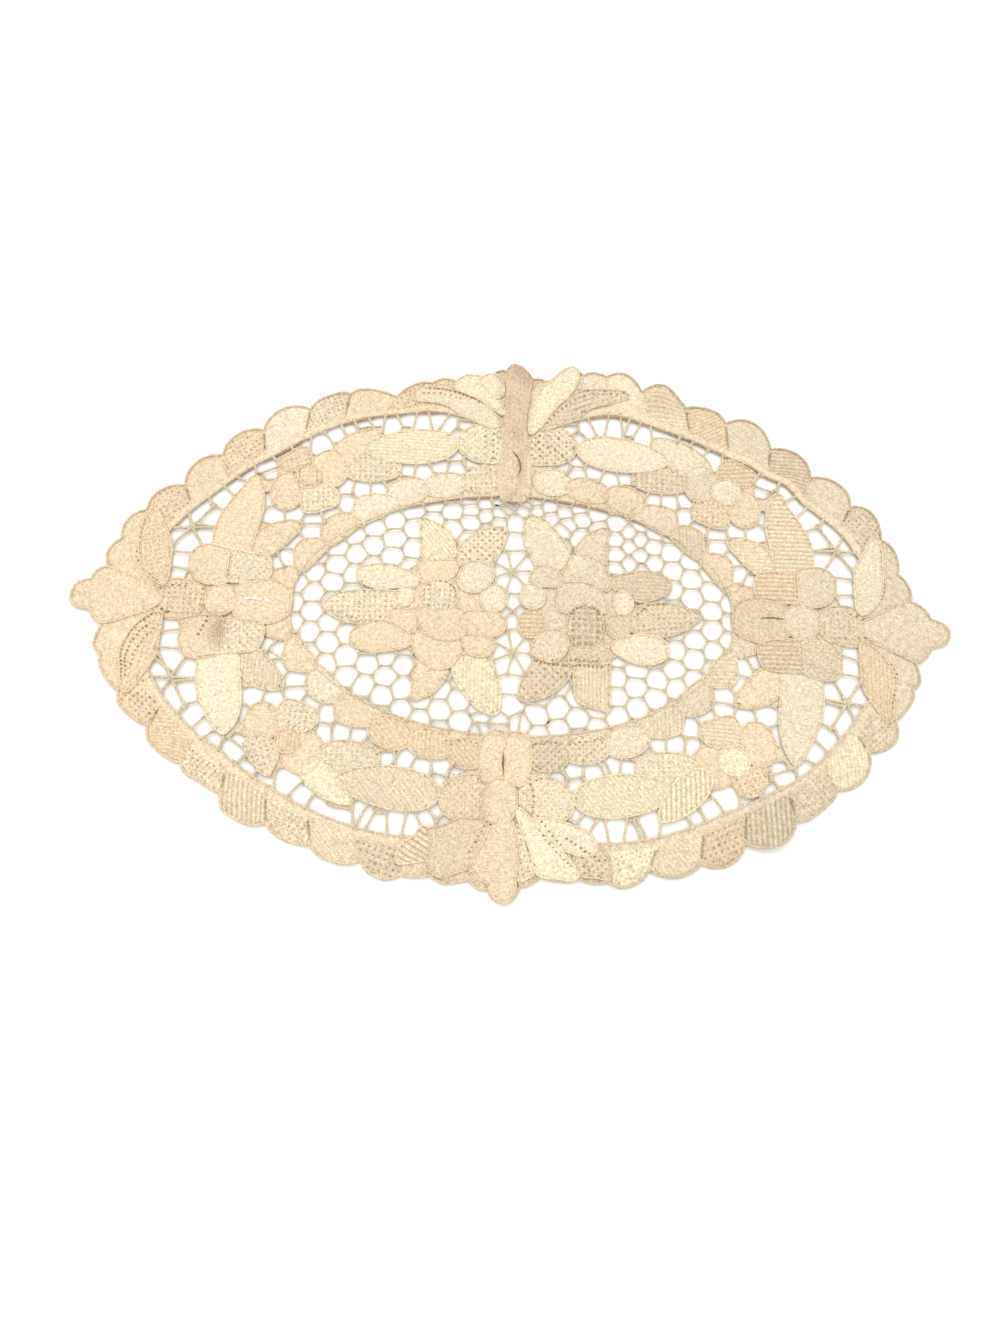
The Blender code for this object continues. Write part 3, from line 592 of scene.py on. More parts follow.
def shape_outline(shape, base, tip, width, bend=0.0):
    """The closed outline of a leaf or petal, counter-clockwise."""
    start, finish = SHAPES[shape]
    base, tip = np.array(base, float), np.array(tip, float)
    axis = tip - base
    length = float(np.hypot(*axis))
    count = max(7, int((length + width / 2) / OUTLINE_SPACING))
    share = (1.0 - np.cos(np.linspace(0.0, math.pi, count))) / 2
    peak = (start / (start + finish)) ** start * (finish / (start + finish)) ** finish
    half = width / 2 * share**start * (1.0 - share) ** finish / peak
    aside = np.array((-axis[1], axis[0])) / length
    spine = base + share[:, None] * axis + (bend * 4 * share * (1 - share))[:, None] * aside
    left, right = spine + half[:, None] * aside, spine - half[:, None] * aside
    return np.vstack((right, left[-2:0:-1]))


def signed_area(outline):
    ahead = np.roll(outline, -1, axis=0)
    return float(np.sum(outline[:, 0] * ahead[:, 1] - ahead[:, 0] * outline[:, 1]) / 2)


def middle_of(outline):
    ahead = np.roll(outline, -1, axis=0)
    cross = outline[:, 0] * ahead[:, 1] - ahead[:, 0] * outline[:, 1]
    return ((outline + ahead) * cross[:, None]).sum(axis=0) / (3 * cross.sum())


class Motif:
    """One worked shape: its outline, how it is filled, and how it swells."""

    def __init__(self, outline, axis, filling, layer, swell=SWELL, corded=None):
        corded = np.ones(len(outline), bool) if corded is None else corded
        if signed_area(outline) < 0:
            outline, corded = outline[::-1], corded[::-1]
        self.outline, self.corded = outline, corded
        self.middle = middle_of(outline)
        self.stitch, self.tint = filling
        self.layer, self.swell = layer, swell
        pitch, thickness, turn, crossed, depth = STITCHES[self.stitch]
        self.pitch, self.thickness, self.crossed, self.depth = pitch, thickness, crossed, depth
        self.turn = axis + math.pi / 2 if turn is None else math.radians(turn)
        offset = outline - self.middle
        angles = np.arctan2(offset[:, 1], offset[:, 0])
        order = np.argsort(angles)
        self.angles, self.radii = angles[order], np.hypot(*offset.T)[order]
        self.low, self.high = outline.min(axis=0), outline.max(axis=0)

    def share(self, points):
        """0 at the middle and 1 on the outline."""
        offset = points - self.middle
        angles = np.arctan2(offset[:, 1], offset[:, 0])
        edge = np.interp(angles, self.angles, self.radii, period=2 * math.pi)
        return np.hypot(offset[:, 0], offset[:, 1]) / edge

    def foot(self):
        return FOOT + LAYER_STEP * self.layer

    def height(self, share):
        return self.foot() + self.swell * (1.0 - np.clip(share, 0.0, 1.0) ** SWELL_POWER)

    def colour(self):
        """The thread's tint, a little different from shape to shape."""
        wander = math.sin(12.9 * self.middle[0] + 7.3 * self.middle[1])
        left_to_right = DARKER_RIGHT * self.middle[0] / HALF_LENGTH
        return tint_of(self.tint) * (1.0 + TINT_WANDER * wander - left_to_right)

    def near(self, other):
        return bool(np.all(self.low < other.high) and np.all(other.low < self.high))


class Button(Motif):
    """A round that lies over the shapes about it, with its rim down among them."""

    def foot(self):
        return BUTTON_FOOT


class Strip(Motif):
    """A long motif that follows a line, given as rows of y, left x and right x."""

    def __init__(self, rows, filling, layer, swell):
        self.rows = np.array(rows)
        outline = np.vstack((self.rows[:, 2::-2], self.rows[::-1, 1::-1]))
        super().__init__(outline, math.pi / 2, filling, layer, swell, np.zeros(len(outline), bool))

    def share(self, points):
        y, left, right = self.rows.T
        x1, x2 = np.interp(points[:, 1], y, left), np.interp(points[:, 1], y, right)
        far = np.abs(points[:, 0] - (x1 + x2) / 2) / ((x2 - x1) / 2)
        past = (points[:, 1] < y[0]) | (points[:, 1] > y[-1])
        return np.where(past, 2.0, far)

    def height(self, share):
        """Two soft ridges with a trough between them."""
        far = np.clip(share, 0.0, 1.0)
        return FOLD_FOOT + self.swell * (1 - far**2.4) * (0.55 + 0.45 * smooth(far * 2.2))


def travelled(points):
    """How far along a run of points each of them lies."""
    return np.concatenate(((0.0,), np.cumsum(np.hypot(*np.diff(points, axis=0).T))))


def rim_line(spacing=1.0):
    """The inner cord's line in one quarter, evenly spaced, and the way outward at each point."""
    corners = np.array(RIM)
    at = travelled(corners)
    fine = np.linspace(0.0, at[-1], int(at[-1] / spacing) + 1)
    slopes = np.gradient(corners, at, axis=0)
    index = np.clip(np.searchsorted(at, fine, side="right") - 1, 0, len(at) - 2)
    span = at[index + 1] - at[index]
    t = ((fine - at[index]) / span)[:, None]
    span = span[:, None]
    points = (
        (2 * t**3 - 3 * t**2 + 1) * corners[index]
        + (t**3 - 2 * t**2 + t) * span * slopes[index]
        + (3 * t**2 - 2 * t**3) * corners[index + 1]
        + (t**3 - t**2) * span * slopes[index + 1]
    )
    along = np.gradient(points, axis=0)
    along /= np.linalg.norm(along, axis=1)[:, None]
    return points, np.column_stack((along[:, 1], -along[:, 0]))


def top_of(points):
    """How high the uppermost cloth lies at each point."""
    shares = [(motif, motif.share(points)) for motif in motifs()]
    return np.max([motif.height(share) * (share < 1.0) for motif, share in shares], axis=0)


def along_line(corners, spacing):
    """Evenly spaced points along a line through corners."""
    corners = np.array(corners, float)
    at = travelled(corners)
    fine = np.linspace(0.0, at[-1], max(2, int(at[-1] / spacing) + 1))
    return np.column_stack([np.interp(fine, at, corners[:, i]) for i in (0, 1)])


def stretch(start, end):
    """Points from start towards end, without the end."""
    count = max(1, int(math.dist(start, end) / OUTLINE_SPACING))
    share = np.linspace(0.0, 1.0, count, endpoint=False)[:, None]
    return np.array(start) + share * (np.array(end) - np.array(start))


def edge_lobes(first, last):
    """The points of the lobes between two notches of the edge, with both."""
    lobes = [lobe(EDGE[i][:2], EDGE[i + 1][:2], EDGE[i + 1][2])[:-1] for i in range(first, last)]
    return np.vstack(lobes + [np.array(EDGE[last][:2])])


def scallop_outline(first, last, ax, ay, bx, by):
    """A scallop's outline, and which of its points the cord follows."""
    outer = edge_lobes(first, last)
    if first in BAND_SCALLOPS:
        line, outward = rim_line()
        inner = line + outward * RIM_BAND * SEAM_START
        begin, finish = (int(np.argmin(np.hypot(*(inner - seam).T))) for seam in ((ax, ay), (bx, by)))
        inner = inner[begin : finish + 1][::-1]
    else:
        inner = stretch((bx, by), (ax, ay))
    ends = stretch(inner[-1], EDGE[first][:2]), stretch(EDGE[last][:2], inner[0])[1:]
    worked_round = np.vstack((ends[0], outer, ends[1]))
    corded = np.arange(len(worked_round) + len(inner) - 1) < len(worked_round)
    return np.vstack((worked_round, inner[:-1])), corded


def free_outline(corners):
    """A smooth closed line through the corners."""
    corners = np.array(corners, float)
    pieces = []
    for i in range(len(corners)):
        a, b, c, d = (corners[(i + k) % len(corners)] for k in (-1, 0, 1, 2))
        count = max(2, int(math.dist(b, c) / FREE_SPACING))
        t = np.linspace(0.0, 1.0, count, endpoint=False)[:, None]
        pieces.append(
            b + t * (c - a) / 2 + t**2 * (a - 2.5 * b + 2 * c - d / 2)
            + t**3 * (-a / 2 + 1.5 * b - 1.5 * c + d / 2)
        )
    return np.vstack(pieces)


def long_way(outline):
    """The direction of a shape's length."""
    offset = outline - middle_of(outline)
    return math.atan2(*offset[int(np.argmax(np.hypot(*offset.T)))][::-1])


def all_motifs():
    """Every filled shape, lowest first."""
    found = []

    def in_quarters(even, axis, layer, fillings, *more):
        for signs, filling in zip(QUARTERS, fillings.split()):
            if filling != "--":
                turn = math.atan2(math.sin(axis) * signs[1], math.cos(axis) * signs[0])
                found.append(Motif(even * signs, turn, filling, layer, *more))

    for shape, bx, by, tx, ty, width, bend, layer, fillings in QUARTER_MOTIFS:
        even = shape_outline(shape, (bx, by), (tx, ty), width, bend)
        in_quarters(even, math.atan2(ty - by, tx - bx), layer, fillings)
    for layer, fillings, corners in QUARTER_SHAPES:
        even = free_outline(corners)
        in_quarters(even, long_way(even), layer, fillings)
    for layer, right, left, side in END_SHAPES:
        even = free_outline(side + tuple((x, -y) for x, y in side[::-1]))
        found.append(Motif(even, 0.0, right, layer))
        found.append(Motif(even * (-1, 1), math.pi, left, layer))
    found.append(Motif(free_outline(SPEAR), math.pi / 2, "pp", 4))
    for layer, left, right, corners in CENTRE_SHAPES:
        even = free_outline(corners)
        axis = long_way(even)
        for sign, filling in ((1, left), (-1, right)):
            if filling != "--":
                found.append(Motif(even * sign, axis, filling, layer))
    for first, last, *seams, fillings in SCALLOPS:
        even, corded = scallop_outline(first, last, *seams)
        notch, other = EDGE[first], EDGE[last]
        axis = math.atan2(other[0] - notch[0], notch[1] - other[1])
        in_quarters(even, axis, 0, fillings, SCALLOP_SWELL, corded)
    found.append(Strip(FOLD, "dp", FOLD_LAYER, FOLD_SWELL))
    found.sort(key=lambda motif: motif.layer)
    angles = np.linspace(0.0, 2 * math.pi, BUTTON_POINTS, endpoint=False)
    for x, y, half_length, half_width, filling in BUTTONS:
        outline = np.column_stack((x + half_length * np.cos(angles), y + half_width * np.sin(angles)))
        found.append(Button(outline, math.pi / 2, filling, BUTTON_LAYER, BUTTON_SWELL))
    return found


def past_rim(points):
    """Whether each point lies outside the ring's outer line."""
    line, outward = rim_line()
    even = np.abs(points)
    offset = even[:, None, :] - line[None]
    near = np.argmin((offset**2).sum(axis=2), axis=1)
    beyond = (offset[np.arange(len(even)), near] * outward[near]).sum(axis=1)
    return beyond > 0.0


def covered(points, over, within=1.0):
    """Which points lie on any of the shapes in over."""
    hidden = np.zeros(len(points), bool)
    if not len(points):
        return hidden
    low, high = points.min(axis=0), points.max(axis=0)
    for motif in over:
        if np.any(motif.low > high) or np.any(motif.high < low):
            continue
        inside = np.all((points > motif.low) & (points < motif.high), axis=1) & ~hidden
        if inside.any():
            index = np.flatnonzero(inside)
            hidden[index] = motif.share(points[index]) < within
    return hidden


def runs_of(shown, least=2):
    """(first, last + 1) of each run of true values."""
    padded = np.concatenate(((False,), shown, (False,)))
    turns = np.flatnonzero(padded[1:] != padded[:-1])
    return [(a, b) for a, b in zip(turns[::2], turns[1::2]) if b - a >= least]


# ---------------------------------------------------------------- threads


def linked(name, data):
    """A new object in the scene."""
    made = bpy.data.objects.new(name, data)
    bpy.context.scene.collection.objects.link(made)
    return made


class Lines:
    """Threads waiting to be given their thickness: open or closed runs of points."""

    def __init__(self):
        self.places, self.sizes, self.tints, self.edges, self.count = [], [], [], [], 0

    def add(self, points, heights, size, tint, closed=False):
        number, start = len(points), self.count
        if number < 2:
            return
        self.places.append(laid(points, heights))
        self.sizes.append(np.broadcast_to(np.asarray(size, float), number))
        self.tints.append(stained(points, tint))
        steps = np.arange(start, start + number - 1)
        self.edges.append(np.column_stack((steps, steps + 1)))
        if closed:
            self.edges.append(np.array(((start + number - 1, start),)))
        self.count += number

    def dot(self, point, height, size, tint):
        """A single point, which takes an opening and no thread."""
        self.places.append(laid(point[None], height))
        self.sizes.append(np.array((size,)))
        self.tints.append(stained(point[None], tint))
        self.count += 1

    def guide(self, name):
        """The runs as a mesh of edges, with each point's thickness and tint."""
        mesh = bpy.data.meshes.new(name)
        places = np.vstack(self.places)
        edges = np.vstack(self.edges) if self.edges else np.empty((0, 2))
        mesh.vertices.add(len(places))
        mesh.vertices.foreach_set("co", places.astype(np.float32).ravel())
        mesh.edges.add(len(edges))
        mesh.edges.foreach_set("vertices", edges.astype(np.int32).ravel())
        size = mesh.attributes.new("size", "FLOAT", "POINT")
        size.data.foreach_set("value", np.concatenate(self.sizes).astype(np.float32))
        set_tint(mesh, np.vstack(self.tints))
        return linked(name, mesh)


def stained(points, tint):
    """The tint at each point of a thread or cloth, darkened by stains and by painted shade."""
    share = np.zeros(len(points))
    for x, y, half_length, half_height, strength in STAINS_AND_SHADE:
        far = np.hypot((points[:, 0] - x) / half_length, (points[:, 1] - y) / half_height)
        share = np.maximum(share, strength * fade(far, 1.4))
    share = share[:, None]
    dark = np.minimum(tint, tint_of("w"))
    return np.asarray(tint, float) * (1 - share) + dark * share


def set_tint(mesh, tints):
    layer = mesh.attributes.new("tint", "FLOAT_COLOR", "POINT")
    four = np.column_stack((tints, np.ones(len(tints))))
    layer.data.foreach_set("color", four.astype(np.float32).ravel())


class Graph:
    """A node tree, and one way to add any node to it."""

    def __init__(self, tree):
        self.tree = tree
        tree.nodes.clear()

    def node(self, kind, settings=None, **values):
        """A node: its settings first, then the values or links of its sockets."""
        made = self.tree.nodes.new(kind)
        for name, value in (settings or {}).items():
            setattr(made, name, value)
        for name, value in values.items():
            socket = self.socket(made, name)
            if isinstance(value, Wire):
                value = value.socket
            if isinstance(value, bpy.types.Node):
                value = value.outputs[0]
            if isinstance(value, bpy.types.NodeSocket):
                self.tree.links.new(value, socket)
            else:
                socket.default_value = value
        return made

    def socket(self, made, name):
        """An input by its place, as in_2, or by its name with _ for a space."""
        if name.startswith("in_"):
            return made.inputs[int(name[3:])]
        wanted = name.replace("_", " ").lower()
        for socket in made.inputs:
            if socket.name.lower() == wanted and socket.enabled:
                return socket
        raise KeyError(f"{made.bl_idname} has no input {wanted}")

    def wire(self, kind, settings=None, out=0, **values):
        return Wire(self, self.node(kind, settings, **values).outputs[out])

    def scaled(self, vector, factor):
        return self.node("ShaderNodeVectorMath", {"operation": "SCALE"}, in_0=vector, in_3=factor)

    def multiplied(self, base, colour, factor):
        """A colour, multiplied by another as far as the factor says."""
        settings = {"data_type": "RGBA", "blend_type": "MULTIPLY"}
        mixed = self.node("ShaderNodeMix", settings, in_0=factor, in_6=base, in_7=(*colour, 1.0))
        return mixed.outputs[2]


class Wire:
    """A number in a node tree; the usual operators add Math nodes."""

    def __init__(self, graph, socket):
        self.graph, self.socket = graph, socket

    def maths(self, operation, first, *second, clamp=False):
        values = {f"in_{place}": value for place, value in enumerate((first, *second))}
        settings = {"operation": operation, "use_clamp": clamp}
        return self.graph.wire("ShaderNodeMath", settings, **values)

    def __add__(self, other):
        return self.maths("ADD", self, other)

    def __mul__(self, other):
        return self.maths("MULTIPLY", self, other)

    def __sub__(self, other):
        return self.maths("SUBTRACT", self, other)

    def __rsub__(self, other):
        return self.maths("SUBTRACT", other, self)

    def __truediv__(self, other):
        return self.maths("DIVIDE", self, other)

    def __rtruediv__(self, other):
        return self.maths("DIVIDE", other, self)

    __radd__, __rmul__ = __add__, __mul__

    def cosine(self):
        return self.maths("COSINE", self)

    def power(self, other):
        return self.maths("POWER", self, other)

    def odd(self):
        return self.maths("MODULO", self, 2.0)

    def clamped(self):
        return self.maths("ADD", self, 0.0, clamp=True)


def new_tree(name, *inputs):
    """The graph of a node group with a geometry, the named inputs and a material."""
    tree = bpy.data.node_groups.new(name, "GeometryNodeTree")
    for label, kind in (("Geometry", "Geometry"), *inputs, ("Material", "Material")):
        tree.interface.new_socket(label, in_out="INPUT", socket_type="NodeSocket" + kind)
    tree.interface.new_socket("Geometry", in_out="OUTPUT", socket_type="NodeSocketGeometry")
    graph = Graph(tree)
    return graph, graph.node("NodeGroupInput").outputs


def finish_tree(graph, geometry, given):
    """Ends a tree as plain geometry in its material."""
    whole = graph.node("GeometryNodeRealizeInstances", Geometry=geometry)
    dressed = graph.node("GeometryNodeSetMaterial", Geometry=whole, Material=given["Material"])
    graph.node("NodeGroupOutput", Geometry=dressed)
    return graph.tree


def thread_tree():
    """Gives each line of a guide a twisted, beaded thread."""
    names = ("Thickness", "Bead", "Twist", "Strands", "Flatness")
    graph, given = new_tree("thread_tree", ("Sides", "Int"), *((name, "Float") for name in names))
    thickness, bead, twist, strands, flatness = (Wire(graph, given[name]) for name in names)
    size = graph.wire("GeometryNodeInputNamedAttribute", {"data_type": "FLOAT"}, Name="size")
    every_other = graph.wire("GeometryNodeInputIndex").odd()
    thick = size * (every_other * bead + 1.0) * thickness * 0.5
    tilt = graph.wire("GeometryNodeSplineParameter", out=1) * twist
    curve = graph.node("GeometryNodeMeshToCurve", Mesh=given["Geometry"])
    curve = graph.node("GeometryNodeSetCurveNormal", {"mode": "Z_UP"}, Curve=curve)
    curve = graph.node("GeometryNodeSetCurveTilt", Curve=curve, Tilt=tilt)
    ring = graph.node("GeometryNodeCurvePrimitiveCircle", Resolution=given["Sides"], in_4=1.0)
    ridge = graph.wire("GeometryNodeInputIndex").odd() * strands
    ridged = graph.scaled(graph.node("GeometryNodeInputPosition"), 1.0 - ridge)
    x, y, _ = graph.node("ShaderNodeSeparateXYZ", Vector=ridged).outputs
    flattened = graph.node("ShaderNodeCombineXYZ", X=x, Y=Wire(graph, y) * (1.0 - flatness))
    ring = graph.node("GeometryNodeSetPosition", Geometry=ring, Position=flattened)
    tube = graph.node(
        "GeometryNodeCurveToMesh", Curve=curve, Profile_Curve=ring, Scale=thick, Fill_Caps=True
    )
    tube = graph.node("GeometryNodeSetShadeSmooth", Geometry=tube)
    return finish_tree(graph, tube, given)


def hole_tree():
    """Sets a small dark disc at each point of a guide: an opening's painted shade."""
    graph, given = new_tree("hole_tree", ("Sides", "Int"))
    size = graph.wire("GeometryNodeInputNamedAttribute", {"data_type": "FLOAT"}, Name="size")
    disc = graph.node(
        "GeometryNodeMeshCircle", {"fill_type": "TRIANGLE_FAN"}, Vertices=given["Sides"], Radius=1.0
    )
    wide = graph.node("ShaderNodeCombineXYZ", X=size, Y=size * 0.8, Z=size)
    openings = graph.node(
        "GeometryNodeInstanceOnPoints", Points=given["Geometry"], Instance=disc, Scale=wide
    )
    return finish_tree(graph, openings, given)


def set_inputs(modifier, values):
    """Sets a tree's inputs by their identifiers, from values by name."""
    for item in modifier.node_group.interface.items_tree:
        if item.item_type == "SOCKET" and item.in_out == "INPUT" and item.name in values:
            modifier[item.identifier] = values[item.name]


def worked(name, lines, material, tree=thread_tree, **inputs):
    """The lines as one plain mesh, from a node tree with these inputs."""
    guide = lines.guide(name + "_guide")
    modifier = guide.modifiers.new("threads", "NODES")
    modifier.node_group = bpy.data.node_groups.get(tree.__name__) or tree()
    set_inputs(modifier, {"Thickness": MM, "Material": material, **inputs})
    bpy.context.view_layer.update()
    seen = guide.evaluated_get(bpy.context.evaluated_depsgraph_get())
    mesh = bpy.data.meshes.new_from_object(seen)
    bpy.data.objects.remove(guide, do_unlink=True)
    if not mesh.polygons:
        raise RuntimeError(f"{name} has no thread")
    if not mesh.materials:
        mesh.materials.append(material)
    return placed(name, mesh)


def placed(name, mesh):
    """A finished piece, which rides on the part's one body."""
    mesh.name = name
    made = linked(name, mesh)
    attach(made, "root")
    return made


# ---------------------------------------------------------------- colours and materials


# DEEP is the painted shade of the cloth; WARM and SOILED tint the random mottling.
WARM, SOILED, DEEP = (0.97, 0.88, 0.80), (0.70, 0.58, 0.43), (0.60, 0.46, 0.33)
CLOTH_FACTS = ("pitch", "crossed", "depth", "edge")  # what the cloth knows at each point


def linear(*shown):
    """A colour given from 0 to 255 as a screen shows it, as light."""
    shares = (value / 255.0 for value in shown)
    return tuple(v / 12.92 if v <= 0.04045 else ((v + 0.055) / 1.055) ** 2.4 for v in shares)


def tint_of(letter):
    return np.array(getattr(bpy.context.scene.lace_colours, TINTS[letter]))


def material_named(name):
    made = bpy.data.materials.new(name)
    made.use_nodes = True
    return made, Graph(made.node_tree)


def finish_material(graph, colour, rough, height, bump, distance=0.0002):
    normal = graph.node("ShaderNodeBump", Strength=bump, Distance=distance, Height=height)
    shader = graph.node(
        "ShaderNodeBsdfPrincipled",
        Base_Color=colour,
        Roughness=rough,
        Normal=normal,
        Specular_IOR_Level=0.12,
    )
    graph.node("ShaderNodeOutputMaterial", Surface=shader)


def noise(graph, scale, detail):
    """Unevenness over the piece, finer with a larger scale."""
    where = graph.node("ShaderNodeTexCoord").outputs["Object"]
    return graph.wire("ShaderNodeTexNoise", Vector=where, Scale=scale, Detail=detail)


def aged(graph, strength):
    """The tint of a piece with the slow unevenness of old cotton, and the fast one of fibres."""
    tint = graph.node("ShaderNodeAttribute", {"attribute_name": "tint"})
    slow, fast, fine = (noise(graph, *each) for each in ((38.0, 3.0), (950.0, 2.0), (2300.0, 1.0)))
    grain = (fast - 0.5) * 1.5 + (fine - 0.5) * 2.2
    shade = 1.0 + (slow - 0.5) * (0.35 * strength) + grain * strength
    warm = (0.56 - fast) * 3.0 * strength + (slow - 0.5) * 1.5 * strength
    return graph.multiplied(graph.scaled(tint, shade), WARM, warm.clamped()), fast


def cloth_material():
    """Cloth stitch: rows in each shape's own direction, with painted shade in the gaps and by the
    outline.
    """
    made, graph = material_named("cloth_stitch")
    weave = graph.node("ShaderNodeUVMap", {"uv_map": "weave"})
    across, along, _ = graph.node("ShaderNodeSeparateXYZ", Vector=weave).outputs
    across, along = Wire(graph, across), Wire(graph, along)
    pitch, crossed, depth, edge = (
        graph.wire("ShaderNodeAttribute", {"attribute_name": fact}, out=2) for fact in CLOTH_FACTS
    )
    turn = 2 * math.pi
    rows, columns = ((way / pitch * turn).cosine() * 0.5 + 0.5 for way in (along, across))
    holes = (rows * (1.0 - crossed + crossed * columns)).power(1.6)
    fine = ((across * (turn / 0.42)).cosine() + (along * (turn / 0.36)).cosine()) * 0.25 + 0.5
    # Painted shade: darker between the rows, and near each shape's outline.
    near_edge = (1.0 - edge / 1.1).clamped().power(2.0)
    dark = (holes * depth * 0.85 + near_edge * 0.18).clamped()
    base, fast = aged(graph, 0.45)
    height = fine * 0.5 + fast * 0.4 - holes * depth
    finish_material(graph, graph.multiplied(base, DEEP, dark), 0.95 - fine * 0.12, height, 0.55)
    return made


def thread_material(name, deepening, bump):
    """Cotton thread in the tint of what it works, deeper where asked."""
    made, graph = material_named(name)
    base, fast = aged(graph, 0.5)
    fibres = noise(graph, 2600.0, 1.0)
    deeper = graph.multiplied(base, SOILED, (fast * deepening).clamped())
    finish_material(graph, deeper, 0.82 + fibres * 0.14, fibres, bump, 0.0001)
    return made


# ---------------------------------------------------------------- sizes and colours to change


def length_prop(name, description, default, least=0.2, most=1.5):
    """A length in millimetres that a user can change."""
    words = description + ", in millimetres"
    return bpy.props.FloatProperty(
        name=name, description=words, default=default, min=least, max=most
    )


def colour_prop(name, description, default):
    """A colour that a user can change."""
    return bpy.props.FloatVectorProperty(
        name=name, description=description, default=default, subtype="COLOR", min=0.0, max=1.0
    )


def strength_prop(name, description, default):
    """A strength of 0 or more that a user can change."""
    return bpy.props.FloatProperty(name=name, description=description, default=default, min=0.0)


class LaceSizes(bpy.types.PropertyGroup):
    cord: length_prop("Outline cord", "Thickness of the cord round each shape", 0.6)
    edge_cord: length_prop("Edge cord", "Thickness of the cord round the scalloped edge", 0.8, most=2.0)
    rim_cord: length_prop("Rim cord", "Thickness of the cords that bound the grounds", 0.65, most=2.0)
    bar: length_prop("Ground bar", "Thickness of the bars of the ground", 0.78)
    unevenness: length_prop("Unevenness", "How far the ground's meshes wander", 0.75, least=0.0)
    seed: bpy.props.IntProperty(
        name="Seed", description="Which of many uneven grounds is worked", default=7, min=0
    )


class LaceColours(bpy.types.PropertyGroup):
    ivory: colour_prop("Ivory", "Palest thread", linear(233, 224, 195))
    cream: colour_prop("Cream", "Pale thread", linear(229, 216, 190))
    peach: colour_prop("Peach", "The usual thread", linear(227, 208, 179))
    tan: colour_prop("Tan", "Darker thread", linear(219, 204, 179))
    sand: colour_prop("Sand", "Thread that has browned", linear(216, 198, 170))
    # Grey: a greyer tint for the right-hand scallop and the right of the edge cord.
    grey: colour_prop("Grey", "Greyer thread, used towards the right", linear(213, 202, 177))
    # The crease's colour: soiled thread, and the painted shade of the crease and the pucker.
    shade: colour_prop("Crease", "Thread in the soiled crease", linear(196, 172, 148))
    bars: colour_prop("Ground", "Thread of the ground's bars", linear(223, 212, 187))
    # Painted shadow: the colour of the dark threads by the rims, the slits and the dark openings.
    shadow: colour_prop("Painted shadow", "Painted shadow by the raised rims, in slits and openings", linear(164, 129, 93))


class StageSettings(bpy.types.PropertyGroup):
    sky: strength_prop("Sky", "Strength of the even light", 1.05)
    lamp: strength_prop("Lamp", "Strength of the soft lamp", 1.0)
    floor: colour_prop("Floor", "Colour of the floor", (0.98, 0.965, 0.935))


@cache
def motifs():
    return all_motifs()


def above(number):
    """The motifs that lie over one of them."""
    mine = motifs()[number]
    over = motifs()[number + 1 :]
    return [other for other in over if other.layer > mine.layer and mine.near(other)]


# ---------------------------------------------------------------- the stage

CAMERA_PLACE = (-0.00586, -0.09502, 0.2545)
CAMERA_TURNS = (-2.167, 0.535, -16.756)  # about z, y and x, in degrees
CAMERA_LENS = 22.96
FLOOR_HALF, FLOOR_LEVEL = 3.0, -0.0004
LAMP_WAY, LAMP_SPREAD = (-0.25, 1.0, 1.35), 50.0
SKY_COLOUR = (1.0, 0.995, 0.985, 1.0)


def lay_floor(settings):
    """A wide pale floor, a little below the lace."""
    mesh = bpy.data.meshes.new("floor")
    corners = [(x * FLOOR_HALF, y * FLOOR_HALF, FLOOR_LEVEL) for x, y in QUARTERS]
    mesh.from_pydata(corners, [], [(0, 1, 2, 3)])
    made, graph = material_named("paper_floor")
    grain = noise(graph, 400.0, 2.0)
    paper = graph.scaled(tuple(settings.floor), 0.995 + grain * 0.01)
    finish_material(graph, paper, 0.9, grain, 0.05)
    mesh.materials.append(made)
    floor = linked("floor", mesh)


def set_light(scene, settings):
    """An even light from all round, and a soft lamp."""
    world = bpy.data.worlds.new("studio")
    world.use_nodes = True
    sky = Graph(world.node_tree)
    light = sky.node("ShaderNodeBackground", Color=SKY_COLOUR, Strength=settings.sky)
    sky.node("ShaderNodeOutputWorld", Surface=light)
    scene.world = world
    sun = bpy.data.lights.new("soft_lamp", "SUN")
    sun.energy = settings.lamp
    sun.angle = math.radians(LAMP_SPREAD)
    lamp = linked("soft_lamp", sun)
    lamp.rotation_euler = Vector(LAMP_WAY).to_track_quat("Z", "Y").to_euler()


def set_camera(scene):
    """The camera above the lace, and plain colours in its picture."""
    lens = bpy.data.cameras.new("camera")
    lens.lens, lens.sensor_width, lens.clip_start = CAMERA_LENS, 36.0, 0.01
    camera = linked("camera", lens)
    z, y, x = (Matrix.Rotation(math.radians(t), 3, way) for t, way in zip(CAMERA_TURNS, "ZYX"))
    view = z @ y @ x
    camera.matrix_world = Matrix.Translation(CAMERA_PLACE) @ view.transposed().to_4x4()
    scene.camera = camera
    scene.view_settings.view_transform = "Standard"
    scene.view_settings.look = "None"


class LACE_OT_stage(bpy.types.Operator):
    """Sets out the pale floor, the soft light and the camera"""

    bl_idname = "lace.stage"
    bl_label = "Stage"

    def execute(self, context):
        settings = context.scene.lace_stage
        lay_floor(settings)
        set_light(context.scene, settings)
        set_camera(context.scene)
        return {"FINISHED"}


# ---------------------------------------------------------------- the cloth

RINGS = (1.0, 0.93, 0.82, 0.62, 0.36)
LINE_SPACING = 1.2  # between the points of the oval's and the border's lines


def quads(rows, columns, closed=False):
    """Faces between rows of points, and from the last column to the first where closed."""
    for row in range(rows - 1):
        for i in range(columns if closed else columns - 1):
            a, b = row * columns + i, row * columns + (i + 1) % columns
            yield a, b, b + columns, a + columns


